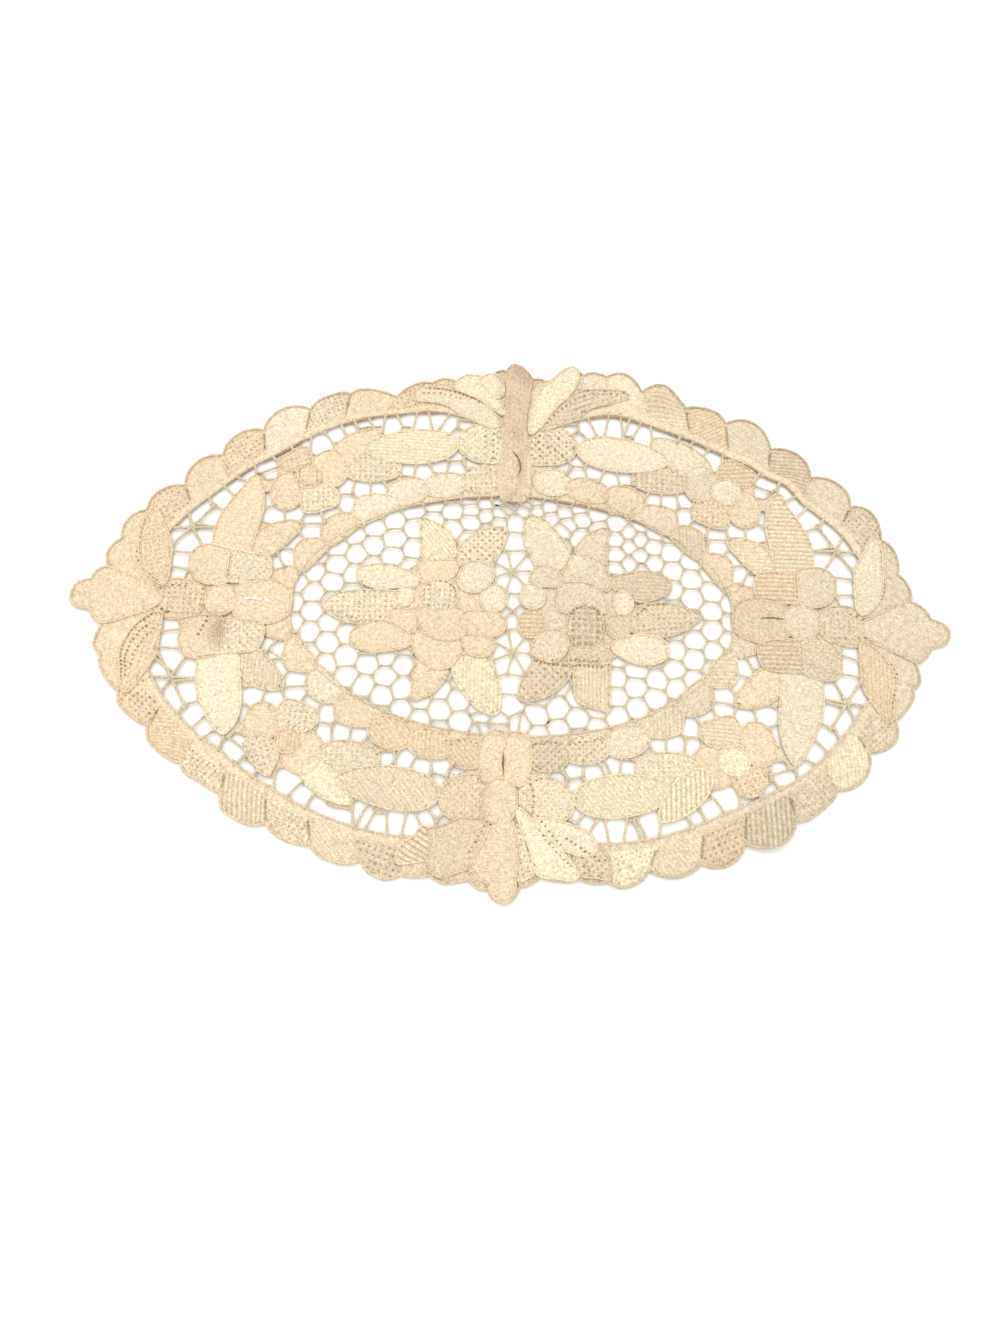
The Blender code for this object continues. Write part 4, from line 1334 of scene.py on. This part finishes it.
class Sheet:
    """Faces of thin cloth, with what their material needs to know at each point."""

    def __init__(self):
        self.places, self.weave, self.facts, self.tints, self.faces = [], [], [], [], []
        self.count = 0

    def add(self, points, heights, weave, edge, motif, faces):
        self.places.append(laid(points, heights))
        self.weave.append(weave)
        facts = np.tile((motif.pitch, motif.crossed, motif.depth), (len(points), 1))
        self.facts.append(np.column_stack((facts, edge)))
        self.tints.append(stained(points, motif.colour()))
        self.faces += [tuple(self.count + i for i in face) for face in faces]
        self.count += len(points)

    def made(self, name, material):
        mesh = bpy.data.meshes.new(name)
        mesh.from_pydata(np.vstack(self.places).tolist(), [], self.faces)
        mesh.polygons.foreach_set("use_smooth", [True] * len(mesh.polygons))
        for fact, values in zip(CLOTH_FACTS, np.vstack(self.facts).astype(np.float32).T):
            layer = mesh.attributes.new(fact, "FLOAT", "POINT")
            layer.data.foreach_set("value", values.copy())
        set_tint(mesh, np.vstack(self.tints))
        corners = np.empty(len(mesh.loops), np.int32)
        mesh.loops.foreach_get("vertex_index", corners)
        weave = mesh.uv_layers.new(name="weave")
        weave.data.foreach_set("uv", np.vstack(self.weave)[corners].astype(np.float32).ravel())
        mesh.materials.append(material)
        return mesh


def patch(sheet, motif):
    """Rings of faces from the outline in to the middle, swelling as they go."""
    number, last = len(motif.outline), (len(RINGS) - 1) * len(motif.outline)
    offset = motif.outline - motif.middle
    points = np.vstack([motif.middle + offset * share for share in RINGS] + [motif.middle])
    share = np.concatenate((np.repeat(RINGS, number), (0.0,)))
    reach = np.hypot(*offset.T)
    edge = np.concatenate([reach * (1 - share) for share in RINGS] + [(reach.mean(),)])
    faces = list(quads(len(RINGS), number, closed=True))
    faces += [(last + i, last + (i + 1) % number, last + number) for i in range(number)]
    weave = turned(points - motif.middle, -motif.turn)
    sheet.add(points, motif.height(share), weave, edge, motif, faces)


def band_motif(filling):
    """A stand-in that carries the filling of a band."""
    return Motif(shape_outline("oval", (0, 0), (4, 0), 4), 0.0, filling, 0)


def oval_line(quarter, offset):
    """A quarter of the oval rim, offset outwards."""
    count = int(1.6 * OVAL_HALF_LENGTH / LINE_SPACING)
    angles = np.linspace(0.0, math.pi / 2, count)
    half = np.array((OVAL_HALF_LENGTH, OVAL_HALF_WIDTH)) + offset
    return half * np.column_stack((np.cos(angles), np.sin(angles))) * QUARTERS[quarter]


def ring_line(quarter, offset):
    """A quarter of the border's inner line, offset outwards."""
    points, outward = rim_line(LINE_SPACING)
    return (points + outward * offset) * QUARTERS[quarter]


BANDS = (  # which line, width, fillings in the four quarters
    (oval_line, OVAL_BAND, "pt pp pp pt"),
    (ring_line, RIM_BAND, "pp pp pp pt"),
)
WEB_STEP, WEB_HEIGHT, WEB_EDGE_HEIGHT, GAP_GROWTH = 0.7, 0.3, 0.5, 1.15
WEB_INSET, WEB_PAST_AXIS, WEB_PAST_OVAL = 0.7, 6.0, 1.2
FAR_FROM_EDGE = 9.0
WEB_FILLING = "pt pp pp pt"
BAND_STEPS = np.array((0.0, 0.25, 0.5, 0.75, 1.0))  # across the band, and its height at each
BAND_HEIGHTS = np.array((0.30, 0.22, 0.10, 0.0, 0.0)) + 0.32


def bands(sheet):
    """The worked bands along the oval and the border, a quarter at a time."""
    for line, width, fillings in BANDS:
        for quarter, filling in enumerate(fillings.split()):
            rows = [line(quarter, width * step) for step in BAND_STEPS]
            number = len(rows[0])
            along = np.tile(travelled(rows[0]), len(rows))
            across = np.repeat(BAND_STEPS * width, number)
            edge = np.repeat(np.minimum(BAND_STEPS, 1 - BAND_STEPS) * width, number)
            outward = math.prod(QUARTERS[quarter]) > 0
            faces = [
                (a, d, c, b) if outward else (b, c, d, a) for a, b, c, d in quads(len(rows), number)
            ]
            weave = np.column_stack((along, across))
            heights = np.repeat(BAND_HEIGHTS, number)
            sheet.add(np.vstack(rows), heights, weave, edge, band_motif(filling), faces)


FOLD_ROWS, FOLD_COLUMNS, FOLD_SEED = 72, 17, 5
FOLD_GRAIN, FOLD_RUMPLE = 0.06, 0.22  # how far its cloth is rumpled, finely and in waves


def fold_cloth(sheet, motif):
    """Rows of faces across a strip, a little rumpled."""
    across = np.linspace(-1.0, 1.0, FOLD_COLUMNS)
    rows = motif.rows
    fine = np.linspace(rows[0, 0], rows[-1, 0], FOLD_ROWS)
    left, right = (np.interp(fine, rows[:, 0], rows[:, i]) for i in (1, 2))
    middle, half = (left + right) / 2, (right - left) / 2
    x = (middle[:, None] + half[:, None] * across).ravel()
    y = np.repeat(fine, FOLD_COLUMNS)
    points = np.column_stack((x, y))
    share = np.tile(np.abs(across), FOLD_ROWS)
    edge = (1 - share) * np.repeat(half, FOLD_COLUMNS)
    rng = np.random.default_rng(FOLD_SEED)
    waves = FOLD_RUMPLE * np.sin(1.1 * x + 0.5 * y)
    waves *= np.sin(0.9 * y - 0.6 * x + np.sin(0.31 * y))
    rumple = (rng.uniform(-FOLD_GRAIN, FOLD_GRAIN, len(points)) + waves) * (share < 0.99)
    faces = quads(FOLD_ROWS, FOLD_COLUMNS)
    sheet.add(points, motif.height(share) + rumple, points, edge, motif, faces)


def gap_depth(points):
    """How far inside a gap of the ring each point of the first quarter lies; below 0 is cloth."""

    def short_of(cell):
        x, y, half_length, half_height, turn = cell
        local = turned(points - (x, y), -math.radians(turn))
        half = np.array((half_length, half_height)) + GAP_GROWTH
        share = (np.abs(local / half) ** 3).sum(axis=1) ** (1 / 3)
        reach = np.hypot(*local.T) / np.maximum(share, 0.05)
        return (share - 1.0) * reach

    return -np.min([short_of(cell) for cell in RING_CELLS + SPIDER_CELLS], axis=0)


def inside_line(points, line):
    """Whether each point lies within a closed line."""
    inside = np.zeros(len(points), bool)
    for (ax, ay), (bx, by) in zip(line, np.roll(line, -1, axis=0)):
        if ay != by:
            between = (ay > points[:, 1]) != (by > points[:, 1])
            across = ax + (points[:, 1] - ay) / (by - ay) * (bx - ax)
            inside ^= between & (points[:, 0] < across)
    return inside


def web(quarter, every):
    """The cloth between the shapes of a quarter: its points, faces and the sides of its gaps."""
    columns, rows = int(HALF_LENGTH / WEB_STEP) + 1, int(HALF_WIDTH / WEB_STEP) + 1
    ways = (np.arange(number) * WEB_STEP for number in (columns, rows))
    even = np.column_stack([way.ravel() for way in np.meshgrid(*ways, indexing="ij")])
    sign, past = np.array(QUARTERS[quarter]), -WEB_PAST_AXIS
    rim = np.array([(x, y) for x, y in edge_points() if x > past and y > past])
    rim = np.vstack((rim, ((past, HALF_WIDTH), (past, past), (HALF_LENGTH, past))))
    rim = rim * ((HALF_LENGTH - WEB_INSET) / HALF_LENGTH)
    keep = inside_line(even, rim) & ~in_oval(even, OVAL_BAND - WEB_PAST_OVAL)
    depth = gap_depth(even)
    buried = covered(even * sign, every, HIDES_WEB)
    number = np.full(len(even), -1)
    points, faces, sides, crossings = [], [], [], {}

    def corner(i):
        if number[i] < 0:
            number[i] = len(points)
            points.append(even[i])
        return number[i]

    def crossing(i, j):
        i, j = min(i, j), max(i, j)
        if (i, j) not in crossings:
            share = depth[i] / (depth[i] - depth[j])
            crossings[i, j] = len(points)
            points.append(even[i] + share * (even[j] - even[i]))
        return crossings[i, j]

    for square in quads(columns, rows):
        a, b, c, d = square
        square = (a, d, c, b)
        if not all(keep[i] for i in square) or all(buried[i] for i in square):
            continue
        solid = [depth[i] < 0 for i in square]
        if not any(solid) or sum(solid) == 2 and solid[0] == solid[2]:
            continue
        face, side = [], []
        for k in range(4):
            ahead = (k + 1) % 4
            if solid[k]:
                face.append(corner(square[k]))
            if solid[k] != solid[ahead]:
                side.append(crossing(square[k], square[ahead]))
                face.append(side[-1])
        faces.append(face)
        if side:
            sides.append(side)
    if math.prod(sign) < 0:
        faces = [face[::-1] for face in faces]
    return np.array(points) * sign, faces, sides


def chained(sides):
    """Pairs of point numbers joined end to end into runs."""
    beside = {}
    for a, b in sides:
        beside.setdefault(a, []).append(b)
        beside.setdefault(b, []).append(a)
    unused = {frozenset(side) for side in sides}
    runs = []
    for start in [a for a in beside if len(beside[a]) == 1] + list(beside):
        run = [start]
        while ahead := [b for b in beside[run[-1]] if {run[-1], b} in unused]:
            unused.discard(frozenset((run[-1], ahead[0])))
            run.append(ahead[0])
        if len(run) > 1:
            runs.append(run)
    return runs


@cache
def webs():
    return [web(quarter, motifs()) for quarter in range(4)]


def web_cloth(sheet):
    for (points, faces, _), filling in zip(webs(), WEB_FILLING.split()):
        flat, edge = np.full(len(points), WEB_HEIGHT), np.full(len(points), FAR_FROM_EDGE)
        sheet.add(points, flat, points, edge, band_motif(filling), faces)


class LACE_OT_cloth(bpy.types.Operator):
    """Works the cloth stitch of every leaf, petal and scallop"""

    bl_idname = "lace.cloth"
    bl_label = "Cloth stitch"

    def execute(self, context):
        sheet = Sheet()
        web_cloth(sheet)
        bands(sheet)
        for motif in motifs():
            if isinstance(motif, Strip):
                fold_cloth(sheet, motif)
            else:
                patch(sheet, motif)
        piece = placed("lace_cloth", sheet.made("lace_cloth", cloth_material()))
        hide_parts(CAD_NODE)
        return {"FINISHED"}


# ---------------------------------------------------------------- rows of stitches

PLAIN_STEP, OPEN_STEP = 1.4, 1.0  # between the points of a row's thread
SHORTEST_ROW, ROW_INSET = 1.2, 0.15
ROW_SWAY, ROW_SHADE, ROW_SIZE = 0.07, 0.07, 0.06  # how uneven its place, tint and size are
ROW_SINK, CROSSING = 0.16, 0.10  # how deep a thread lies in the cloth, and its rise where it crosses


def row_runs(motif, turn, pitch):
    """Straight rows across a motif, each as its start, its end and how far aside it lies."""
    local = turned(motif.outline - motif.middle, -turn)
    ahead = np.roll(local, -1, axis=0)
    first = math.ceil(local[:, 1].min() / pitch - 0.5)
    last = math.floor(local[:, 1].max() / pitch - 0.5)
    for number in range(first, last + 1):
        level = (number + 0.5) * pitch
        a, b = local[:, 1] - level, ahead[:, 1] - level
        hit = (a * b) < 0
        share = a[hit] / (a[hit] - b[hit])
        crossings = np.sort(local[hit, 0] + share * (ahead[hit, 0] - local[hit, 0]))
        for start, end in zip(crossings[::2], crossings[1::2]):
            if end - start > SHORTEST_ROW:
                yield start + ROW_INSET, end - ROW_INSET, level


def add_rows(lines, motif, over, step, rng):
    """The threads of a shape's filling, and those across them where it is crossed."""
    turns = (motif.turn, motif.turn + math.pi / 2)[: 1 + motif.crossed]
    tint = motif.colour()
    for family, turn in enumerate(turns):
        for start, end, level in row_runs(motif, turn, motif.pitch):
            count = max(2, int(round((end - start) / step)) + 1)
            sway = ROW_SWAY * motif.pitch * rng.uniform(-1.0, 1.0, count)
            local = np.column_stack((np.linspace(start, end, count), level + sway))
            points = turned(local, turn) + motif.middle
            shown = ~covered(points, over, HIDES_ROW)
            shade = 1.0 + rng.uniform(-ROW_SHADE, ROW_SHADE, (count, 1))
            size = motif.thickness * rng.uniform(1.0 - ROW_SIZE, 1.0 + ROW_SIZE, count)
            for a, b in runs_of(shown):
                height = motif.height(motif.share(points[a:b])) + CROSSING * family
                height -= motif.thickness * ROW_SINK
                lines.add(points[a:b], height, size[a:b], tint * shade[a:b])


def stitch_lines(wanted, step, rng):
    lines = Lines()
    for number, motif in enumerate(motifs()):
        if motif.stitch in wanted and not isinstance(motif, Strip):
            add_rows(lines, motif, above(number), step, rng)
    return lines


class LACE_OT_rows(bpy.types.Operator):
    """Works the threads of the fillings: plain, in rows, and crossed"""

    bl_idname = "lace.rows"
    bl_label = "Filling threads"

    def execute(self, context):
        thread = thread_material("filling_thread", 0.35, 0.4)
        rng = np.random.default_rng(context.scene.lace_sizes.seed)
        for name, stitches, step, bead, flatness in (
            ("plain_filling", PLAIN_STITCHES, PLAIN_STEP, 0.10, 0.60),
            ("row_filling", ROW_STITCHES, OPEN_STEP, 0.14, 0.50),
            ("net_filling", NET_STITCHES, OPEN_STEP, 0.10, 0.65),
        ):
            lines = stitch_lines(stitches, step, rng)
            worked(name, lines, thread, Sides=4, Bead=bead, Flatness=flatness)
        return {"FINISHED"}


# ---------------------------------------------------------------- cords

CORD_RISE, SLIT_RISE, LIGHT_RISE = 0.08, 0.1, 0.15  # above the shape's foot, or the cloth
SLIT_STEP, LIGHT_STEP = 0.8, 0.5  # between the points of such a thread
EDGE_GREYS = 40.0  # how far on each side of the middle the edge cord turns from tan to grey


def cord_tint(tint, deep):
    return tint * np.array((deep, deep * 0.98, deep * 0.96))


def tapered(points, thickness, taper, power):
    """The thickness along a thread that thins towards its ends."""
    return thickness * (1.0 - np.linspace(-1.0, 1.0, len(points)) ** power * taper)


# Dark threads of painted shadow along the rims' inner side, where the raised rim is in shade.
RIM_SHADOW_THREADS = (  # which line, quarter, from x to x, inward shift, thickness
    (ring_line, 0, 22, 46, -0.5, 0.9), (ring_line, 0, 45, 70, -0.5, 0.75),
    (ring_line, 0, 70, 96, -0.4, 0.45), (ring_line, 1, 26, 37, -0.4, 1.25),
    (ring_line, 1, 37.6, 47, -0.4, 1.15), (ring_line, 1, 47, 60, -0.5, 0.95),
    (ring_line, 1, 72, 86, -0.5, 0.75), (ring_line, 1, 87, 96, -0.4, 0.6),
    (oval_line, 0, 5, 34, -0.5, 0.75), (oval_line, 0, 34, 60, -0.4, 0.55),
    (oval_line, 1, 5, 17, -0.5, 0.95), (oval_line, 1, 17, 36, -0.4, 0.7),
)
OPENING_WANDER = 0.16
OPENING_LIMIT, OPENING_ODDS = 0.90, 0.92  # how far out in a shape they go, and how many are seen
BESIDE_SHARE, BESIDE_ODDS, BESIDE_WANDER = 0.94, 0.5, 0.3  # the same beside its cord
HOLE_RISE, OPENING_RISE, BESIDE_RISE = 0.2, 0.27, 0.36  # above the cloth, or a shape's foot


def add_openings(lines, motif, over, dark, rng):
    """Painted shade at the openings between crossed threads, and at the odd one beside a shape's cord.
    """
    tint = motif.colour()
    if motif.stitch in OPENINGS:
        radius, strength = OPENINGS[motif.stitch]
        half = int(max(motif.high - motif.low) / motif.pitch)
        steps = np.arange(-half, half + 1) * motif.pitch
        grid = np.array([(x, y) for x in steps for y in steps])
        grid = grid + rng.uniform(-OPENING_WANDER, OPENING_WANDER, grid.shape)
        grid = turned(grid, motif.turn) + motif.middle
        share = motif.share(grid)
        seen = rng.random(len(grid)) < OPENING_ODDS
        shown = (share < OPENING_LIMIT) & ~covered(grid, over) & seen
        for point, one in zip(grid[shown], share[shown]):
            size = radius * rng.uniform(0.6, 1.2)
            deep = strength * (0.3 + 0.7 * one**2 if motif.stitch == "n" else 1.0)
            mixed = tint + (dark - tint) * deep * rng.uniform(0.5, 1.0)
            lines.dot(point, float(motif.height(one)) + OPENING_RISE, size * MM, mixed)
    beside = motif.middle + (motif.outline - motif.middle) * BESIDE_SHARE
    shown = ~covered(beside, over) & motif.corded & (rng.random(len(beside)) < BESIDE_ODDS)
    for point in beside[shown] + rng.uniform(-BESIDE_WANDER, BESIDE_WANDER, (shown.sum(), 2)):
        mixed = tint + (dark - tint) * rng.uniform(0.2, 0.8)
        lines.dot(point, motif.foot() + BESIDE_RISE, rng.uniform(0.10, 0.22) * MM, mixed)


class LACE_OT_holes(bpy.types.Operator):
    """Paints shade as dark discs in the rows of open stitches and the openings of the crossed fillings
    """

    bl_idname = "lace.holes"
    bl_label = "Open stitches"

    def execute(self, context):
        rng = np.random.default_rng(context.scene.lace_sizes.seed)
        dark = np.array(context.scene.lace_colours.shadow)
        lines = Lines()
        for pitch, radius, corners in HOLES:
            points = along_line(corners, pitch)
            points += rng.uniform(-OPENING_WANDER, OPENING_WANDER, points.shape)
            size = radius * rng.uniform(0.7, 1.15, len(points)) * MM
            for point, height, one in zip(points, top_of(points) + HOLE_RISE, size):
                lines.dot(point, height, one, dark)
        for number, motif in enumerate(motifs()):
            if not isinstance(motif, Strip):
                add_openings(lines, motif, above(number), dark, rng)
        # The discs take the painted shadow colour, mixed with the thread's tint in the fillings.
        worked("open_stitches", lines, thread_material("opening", 0.6, 0.2), hole_tree, Sides=7)
        return {"FINISHED"}


def outline_cords(size):
    """The cord round each shape, where no other lies over it."""
    lines = Lines()
    for number, motif in enumerate(motifs()):
        loop = np.vstack((motif.outline, motif.outline[:1]))
        shown = ~covered(loop, above(number), HIDES_CORD)
        shown &= np.append(motif.corded, motif.corded[0])
        tint = cord_tint(motif.colour(), 0.99)
        for a, b in runs_of(shown):
            lines.add(loop[a:b], motif.foot() + CORD_RISE, size, tint)
    return lines


def rim_cords(thickness, under):
    """The cords that bound the grounds, painted shadow beside them and in slits, and loose pale ones.
    """
    lines = Lines()
    tint = cord_tint(tint_of("t"), 0.96)
    for quarter in range(4):
        for line in (oval_line, ring_line):
            lines.add(line(quarter, 0.0), CORD_HEIGHT, thickness, tint)
    for line, quarter, first, last, shift, size in RIM_SHADOW_THREADS:
        points = line(quarter, shift)
        points = points[(np.abs(points[:, 0]) > first) & (np.abs(points[:, 0]) < last)]
        size = tapered(points, size, 0.8, 4) * 0.9
        lines.add(points, RIM_SHADOW_HEIGHT, size, under * 0.65 + tint * 0.35)
    # The slits' dark sides: threads of painted shadow.
    for size, corners in SLITS:
        points = along_line(corners, SLIT_STEP)
        lines.add(points, top_of(points) + SLIT_RISE, tapered(points, size, 0.7, 2), under * 0.7)
    for table, tint in ((BARE, np.full(3, 0.9)), (LIGHT_THREADS, tint_of("i"))):
        for size, corners in table:
            points = along_line(corners, LIGHT_STEP)
            lines.add(points, top_of(points) + LIGHT_RISE, size * 0.8, tint)
    return lines


def edge_cord(thickness):
    """The cord round the scalloped edge, greyer to the right."""
    lines, points = Lines(), edge_points()
    right = smooth((points[:, :1] + EDGE_GREYS) / (2 * EDGE_GREYS))
    tint = cord_tint(tint_of("t"), 1.0) * (1 - right) + cord_tint(tint_of("g"), 0.9) * right
    lines.add(points, EDGE_HEIGHT, thickness, tint, closed=True)
    return lines


class LACE_OT_cords(bpy.types.Operator):
    """Lays the outline cords round the shapes, the edge and the grounds"""

    bl_idname = "lace.cords"
    bl_label = "Cords"

    def execute(self, context):
        # under is the painted shadow colour.
        sizes, under = context.scene.lace_sizes, np.array(context.scene.lace_colours.shadow)
        cord = thread_material("outline_cord", 0.15, 0.3)
        worked("outline_cords", outline_cords(sizes.cord), cord, Sides=6, Bead=0.06)
        worked("rim_cords", rim_cords(sizes.rim_cord, under), cord, Sides=6, Bead=0.06)
        worked("edge_cord", edge_cord(sizes.edge_cord), cord, Sides=6, Bead=0.08)
        return {"FINISHED"}


def edge_points():
    """The scalloped outline, counter-clockwise."""
    runs = []
    for quarter, bulge in enumerate((FAR_LOBE, END_LOBE, NEAR_LOBE, END_LOBE)):
        turns_back = quarter % 2
        ring = edge_lobes(0, len(EDGE) - 1) * QUARTERS[quarter]
        if turns_back:
            ring = ring[::-1]
        end = ring[-1] * ((1, -1) if turns_back else (-1, 1))
        runs += [ring, lobe(ring[-1], end, bulge)[1:-1]]
    return np.vstack(runs)


# ---------------------------------------------------------------- the ground

BAR_STEP, SHORTEST_BAR = 0.7, 0.5
BAR_WAIST, BAR_FLARE = 0.94, 0.7  # thickness at the middle, and how much more at the ends
RING_BAR, ARM_BAR, KNOT_BAR, GAP_BAR = 1.15, 1.35, 1.3, 0.8  # thickness against the plain bars'
NEIGHBOURS, SPIDER_REACH = 9.5, 7.4  # how far apart joined gaps lie, and where a spider's arms rule
KNOT_HALF, KNOT_TURN, KNOT_HEIGHT = 0.4, 0.3, 0.7
OVAL_MARGIN, PAST_OVAL, GAP_EDGE = 0.6, 4.0, -0.4  # how far past the lines a bar may reach
ARM_WANDER, CLOSE_WANDER, CELL_WANDER, WAY_WANDER = 0.16, 0.6, 0.3, 5.0


def centre_through(a, b, c):
    """The middle of the circle through three points, or None where they lie in line."""
    twice = 2 * (a[0] * (b[1] - c[1]) + b[0] * (c[1] - a[1]) + c[0] * (a[1] - b[1]))
    if abs(twice) < 1e-9:
        return None
    aa, bb, cc = a @ a, b @ b, c @ c
    x = (aa * (b[1] - c[1]) + bb * (c[1] - a[1]) + cc * (a[1] - b[1])) / twice
    y = (aa * (c[0] - b[0]) + bb * (a[0] - c[0]) + cc * (b[0] - a[0])) / twice
    return np.array((x, y))


def joined_edges(seeds):
    """The sides that neighbouring gaps share, as (start, end, gap, gap)."""
    verts = [Vector(seed) for seed in seeds]
    corners, _, faces, original, _, _ = delaunay_2d_cdt(verts, [], [], 0, 1e-6)
    name = [group[0] for group in original]
    centres, sides = [], {}
    for number, face in enumerate(faces):
        centres.append(centre_through(*(np.array(corners[i]) for i in face)))
        for i, j in ((0, 1), (1, 2), (2, 0)):
            key = tuple(sorted((name[face[i]], name[face[j]])))
            sides.setdefault(key, []).append(number)
    for (one, other), both in sides.items():
        ends = [centres[i] for i in both if centres[i] is not None]
        if len(ends) == 2 and math.dist(*ends) > SHORTEST_BAR:
            yield *ends, one, other


def in_oval(points, margin=0.0):
    half = np.array((OVAL_HALF_LENGTH, OVAL_HALF_WIDTH)) + margin
    return np.hypot(*(points / half).T) < 1.0


def oval_seeds(rng, wander):
    """The honeycomb of the middle, a little past its rim, and the cells between the flowers."""
    seeds = []
    columns = int(OVAL_HALF_LENGTH / CELL_COLUMN) + 2
    rows = int(OVAL_HALF_WIDTH / CELL_ROW) + 3
    for column in range(columns):
        for row in range(-rows, rows):
            x = -(column + 0.5) * CELL_COLUMN
            y = row * CELL_ROW + CELL_PHASE + (0.0 if column % 2 else CELL_ROW / 2)
            for sign in (1, -1):
                if abs(x) >= MIDDLE_HALF_WIDTH or abs(y) >= MIDDLE_HALF_HEIGHT:
                    dx, dy = rng.uniform(-wander, wander, 2)
                    seeds.append((sign * x + dx, sign * y + dy))
    for x, y in MIDDLE_CELLS:
        seeds += [(x, y), (-x, -y)]
    for x, y, arms, reach in MIDDLE_SPIDERS:
        for arm in range(arms):
            angle = 2 * math.pi * (arm + 0.5) / arms + rng.uniform(-ARM_WANDER, ARM_WANDER)
            seeds.append((x + reach * math.cos(angle), y + reach * math.sin(angle)))
    for left, right, low, high, step_x, step_y in CLOSE_MESHES:
        seeds = [(x, y) for x, y in seeds if not (left < x < right and low < y < high)]
        for column, x in enumerate(np.arange(left + step_x / 2, right, step_x)):
            for y in np.arange(low + step_y * (0.25 + 0.5 * (column % 2)), high, step_y):
                dx, dy = rng.uniform(-wander, wander, 2) * CLOSE_WANDER
                seeds.append((x + dx, y + dy))
    return seeds


def add_bar(lines, start, end, hidden, size, tint):
    """A bar that is thicker at its ends, where it shows and a little under the shapes."""
    count = max(3, int(math.dist(start, end) / BAR_STEP) + 1)
    points = start + np.linspace(0.0, 1.0, count)[:, None] * (end - start)
    sizes = size * (BAR_WAIST + BAR_FLARE * np.abs(np.linspace(-1.0, 1.0, count)) ** 4)
    for a, b in runs_of(~hidden(points), 1):
        a, b = max(0, a - 1), min(count, b + 1)
        lines.add(points[a:b], BAR_HEIGHT, sizes[a:b], tint)


def hidden_in_oval(points):
    """Where a bar of the middle lies under a shape, or past the oval."""
    return covered(points, motifs(), HIDES_BAR) | ~in_oval(points, OVAL_MARGIN)


def hidden_in_ring(points):
    """Where a bar of the ring lies under a shape or the web, or past the ring."""
    buried = covered(points, motifs(), HIDES_BAR) | in_oval(points, OVAL_BAND - OVAL_MARGIN)
    return buried | (gap_depth(np.abs(points)) < GAP_EDGE) | past_rim(points)


def oval_ground(lines, size, tint, wander, rng):
    """The bars of the middle."""
    for start, end, _, _ in joined_edges(oval_seeds(rng, wander)):
        if in_oval(np.array((start, end)), PAST_OVAL).any():
            add_bar(lines, start, end, hidden_in_oval, size, tint)


def gap_sides(lines, size, tint):
    """The threads along the sides of the web's gaps."""
    for points, _, sides in webs():
        for run in chained(sides):
            side = points[run]
            for a, b in runs_of(~covered(side, motifs(), HIDES_BAR) & ~past_rim(side)):
                lines.add(side[a:b], WEB_EDGE_HEIGHT, size * GAP_BAR, tint)


def ring_ground(lines, size, tint, rng):
    """The bars between neighbouring gaps of the ring, and its spiders."""
    cells = np.array(RING_CELLS + SPIDER_CELLS[:-1])[:, :2]  # without the spider's own round
    for signs in QUARTERS:
        seeds = cells * signs + rng.uniform(-CELL_WANDER, CELL_WANDER, cells.shape)
        for start, end, one, other in joined_edges(seeds):
            middle = np.abs((start + end) / 2)
            near_spider = min(math.dist(middle, row[:2]) for row in SPIDERS) < SPIDER_REACH
            if math.dist(seeds[one], seeds[other]) < NEIGHBOURS and not near_spider:
                add_bar(lines, start, end, hidden_in_ring, size * RING_BAR, tint)
        for x, y, ways in SPIDERS:
            centre = np.array((x, y)) * signs
            for way in ways:
                angle = math.radians(way + rng.uniform(-WAY_WANDER, WAY_WANDER))
                arm = ARM_REACH * np.array((math.cos(angle), math.sin(angle))) * signs
                add_bar(lines, centre, centre + arm, hidden_in_ring, size * ARM_BAR, tint)
            knot = centre + turned(np.array(QUARTERS) * KNOT_HALF, KNOT_TURN)
            lines.add(knot, KNOT_HEIGHT, size * KNOT_BAR, tint, closed=True)


class LACE_OT_ground(bpy.types.Operator):
    """Works the bars of the ground in the gaps"""

    bl_idname = "lace.ground"
    bl_label = "Ground"

    def execute(self, context):
        sizes = context.scene.lace_sizes
        rng = np.random.default_rng(sizes.seed)
        tint = np.array(context.scene.lace_colours.bars)
        lines = Lines()
        oval_ground(lines, sizes.bar, tint, sizes.unevenness, rng)
        gap_sides(lines, sizes.bar, tint)
        ring_ground(lines, sizes.bar, tint, rng)
        thread = thread_material("ground_bars", 0.5, 0.5)
        worked("ground_bars", lines, thread, Sides=6, Bead=0.08, Twist=2400.0, Strands=0.15)
        return {"FINISHED"}


# ---------------------------------------------------------------- the add-on

OPERATORS = (
    LACE_OT_stage, LACE_OT_cloth, LACE_OT_rows, LACE_OT_cords, LACE_OT_holes, LACE_OT_ground,
)
GROUPS = {"lace_sizes": LaceSizes, "lace_colours": LaceColours, "lace_stage": StageSettings}


class LACE_PT_panel(bpy.types.Panel):
    """Lists the steps of working the lace"""

    bl_label = "Lace doily"
    bl_idname = "LACE_PT_panel"
    bl_space_type = "VIEW_3D"
    bl_region_type = "UI"
    bl_category = "Lace"

    def draw(self, context):
        layout = self.layout
        for group in (getattr(context.scene, name) for name in GROUPS):
            box = layout.box()
            for name in group.__annotations__:
                box.prop(group, name)
        for operator in OPERATORS:
            layout.operator(operator.bl_idname)


CLASSES = (*GROUPS.values(), *OPERATORS, LACE_PT_panel)


def register():
    for each in CLASSES:
        bpy.utils.register_class(each)
    for name, group in GROUPS.items():
        setattr(bpy.types.Scene, name, bpy.props.PointerProperty(type=group))


def unregister():
    for name in GROUPS:
        delattr(bpy.types.Scene, name)
    for each in reversed(CLASSES):
        bpy.utils.unregister_class(each)


def main():
    register()
    bpy.ops.lace.stage()
    bpy.ops.lace.cloth()
    bpy.ops.lace.rows()
    bpy.ops.lace.cords()
    bpy.ops.lace.holes()
    bpy.ops.lace.ground()
    bpy.context.view_layer.update()


if __name__ == "__main__":
    main()
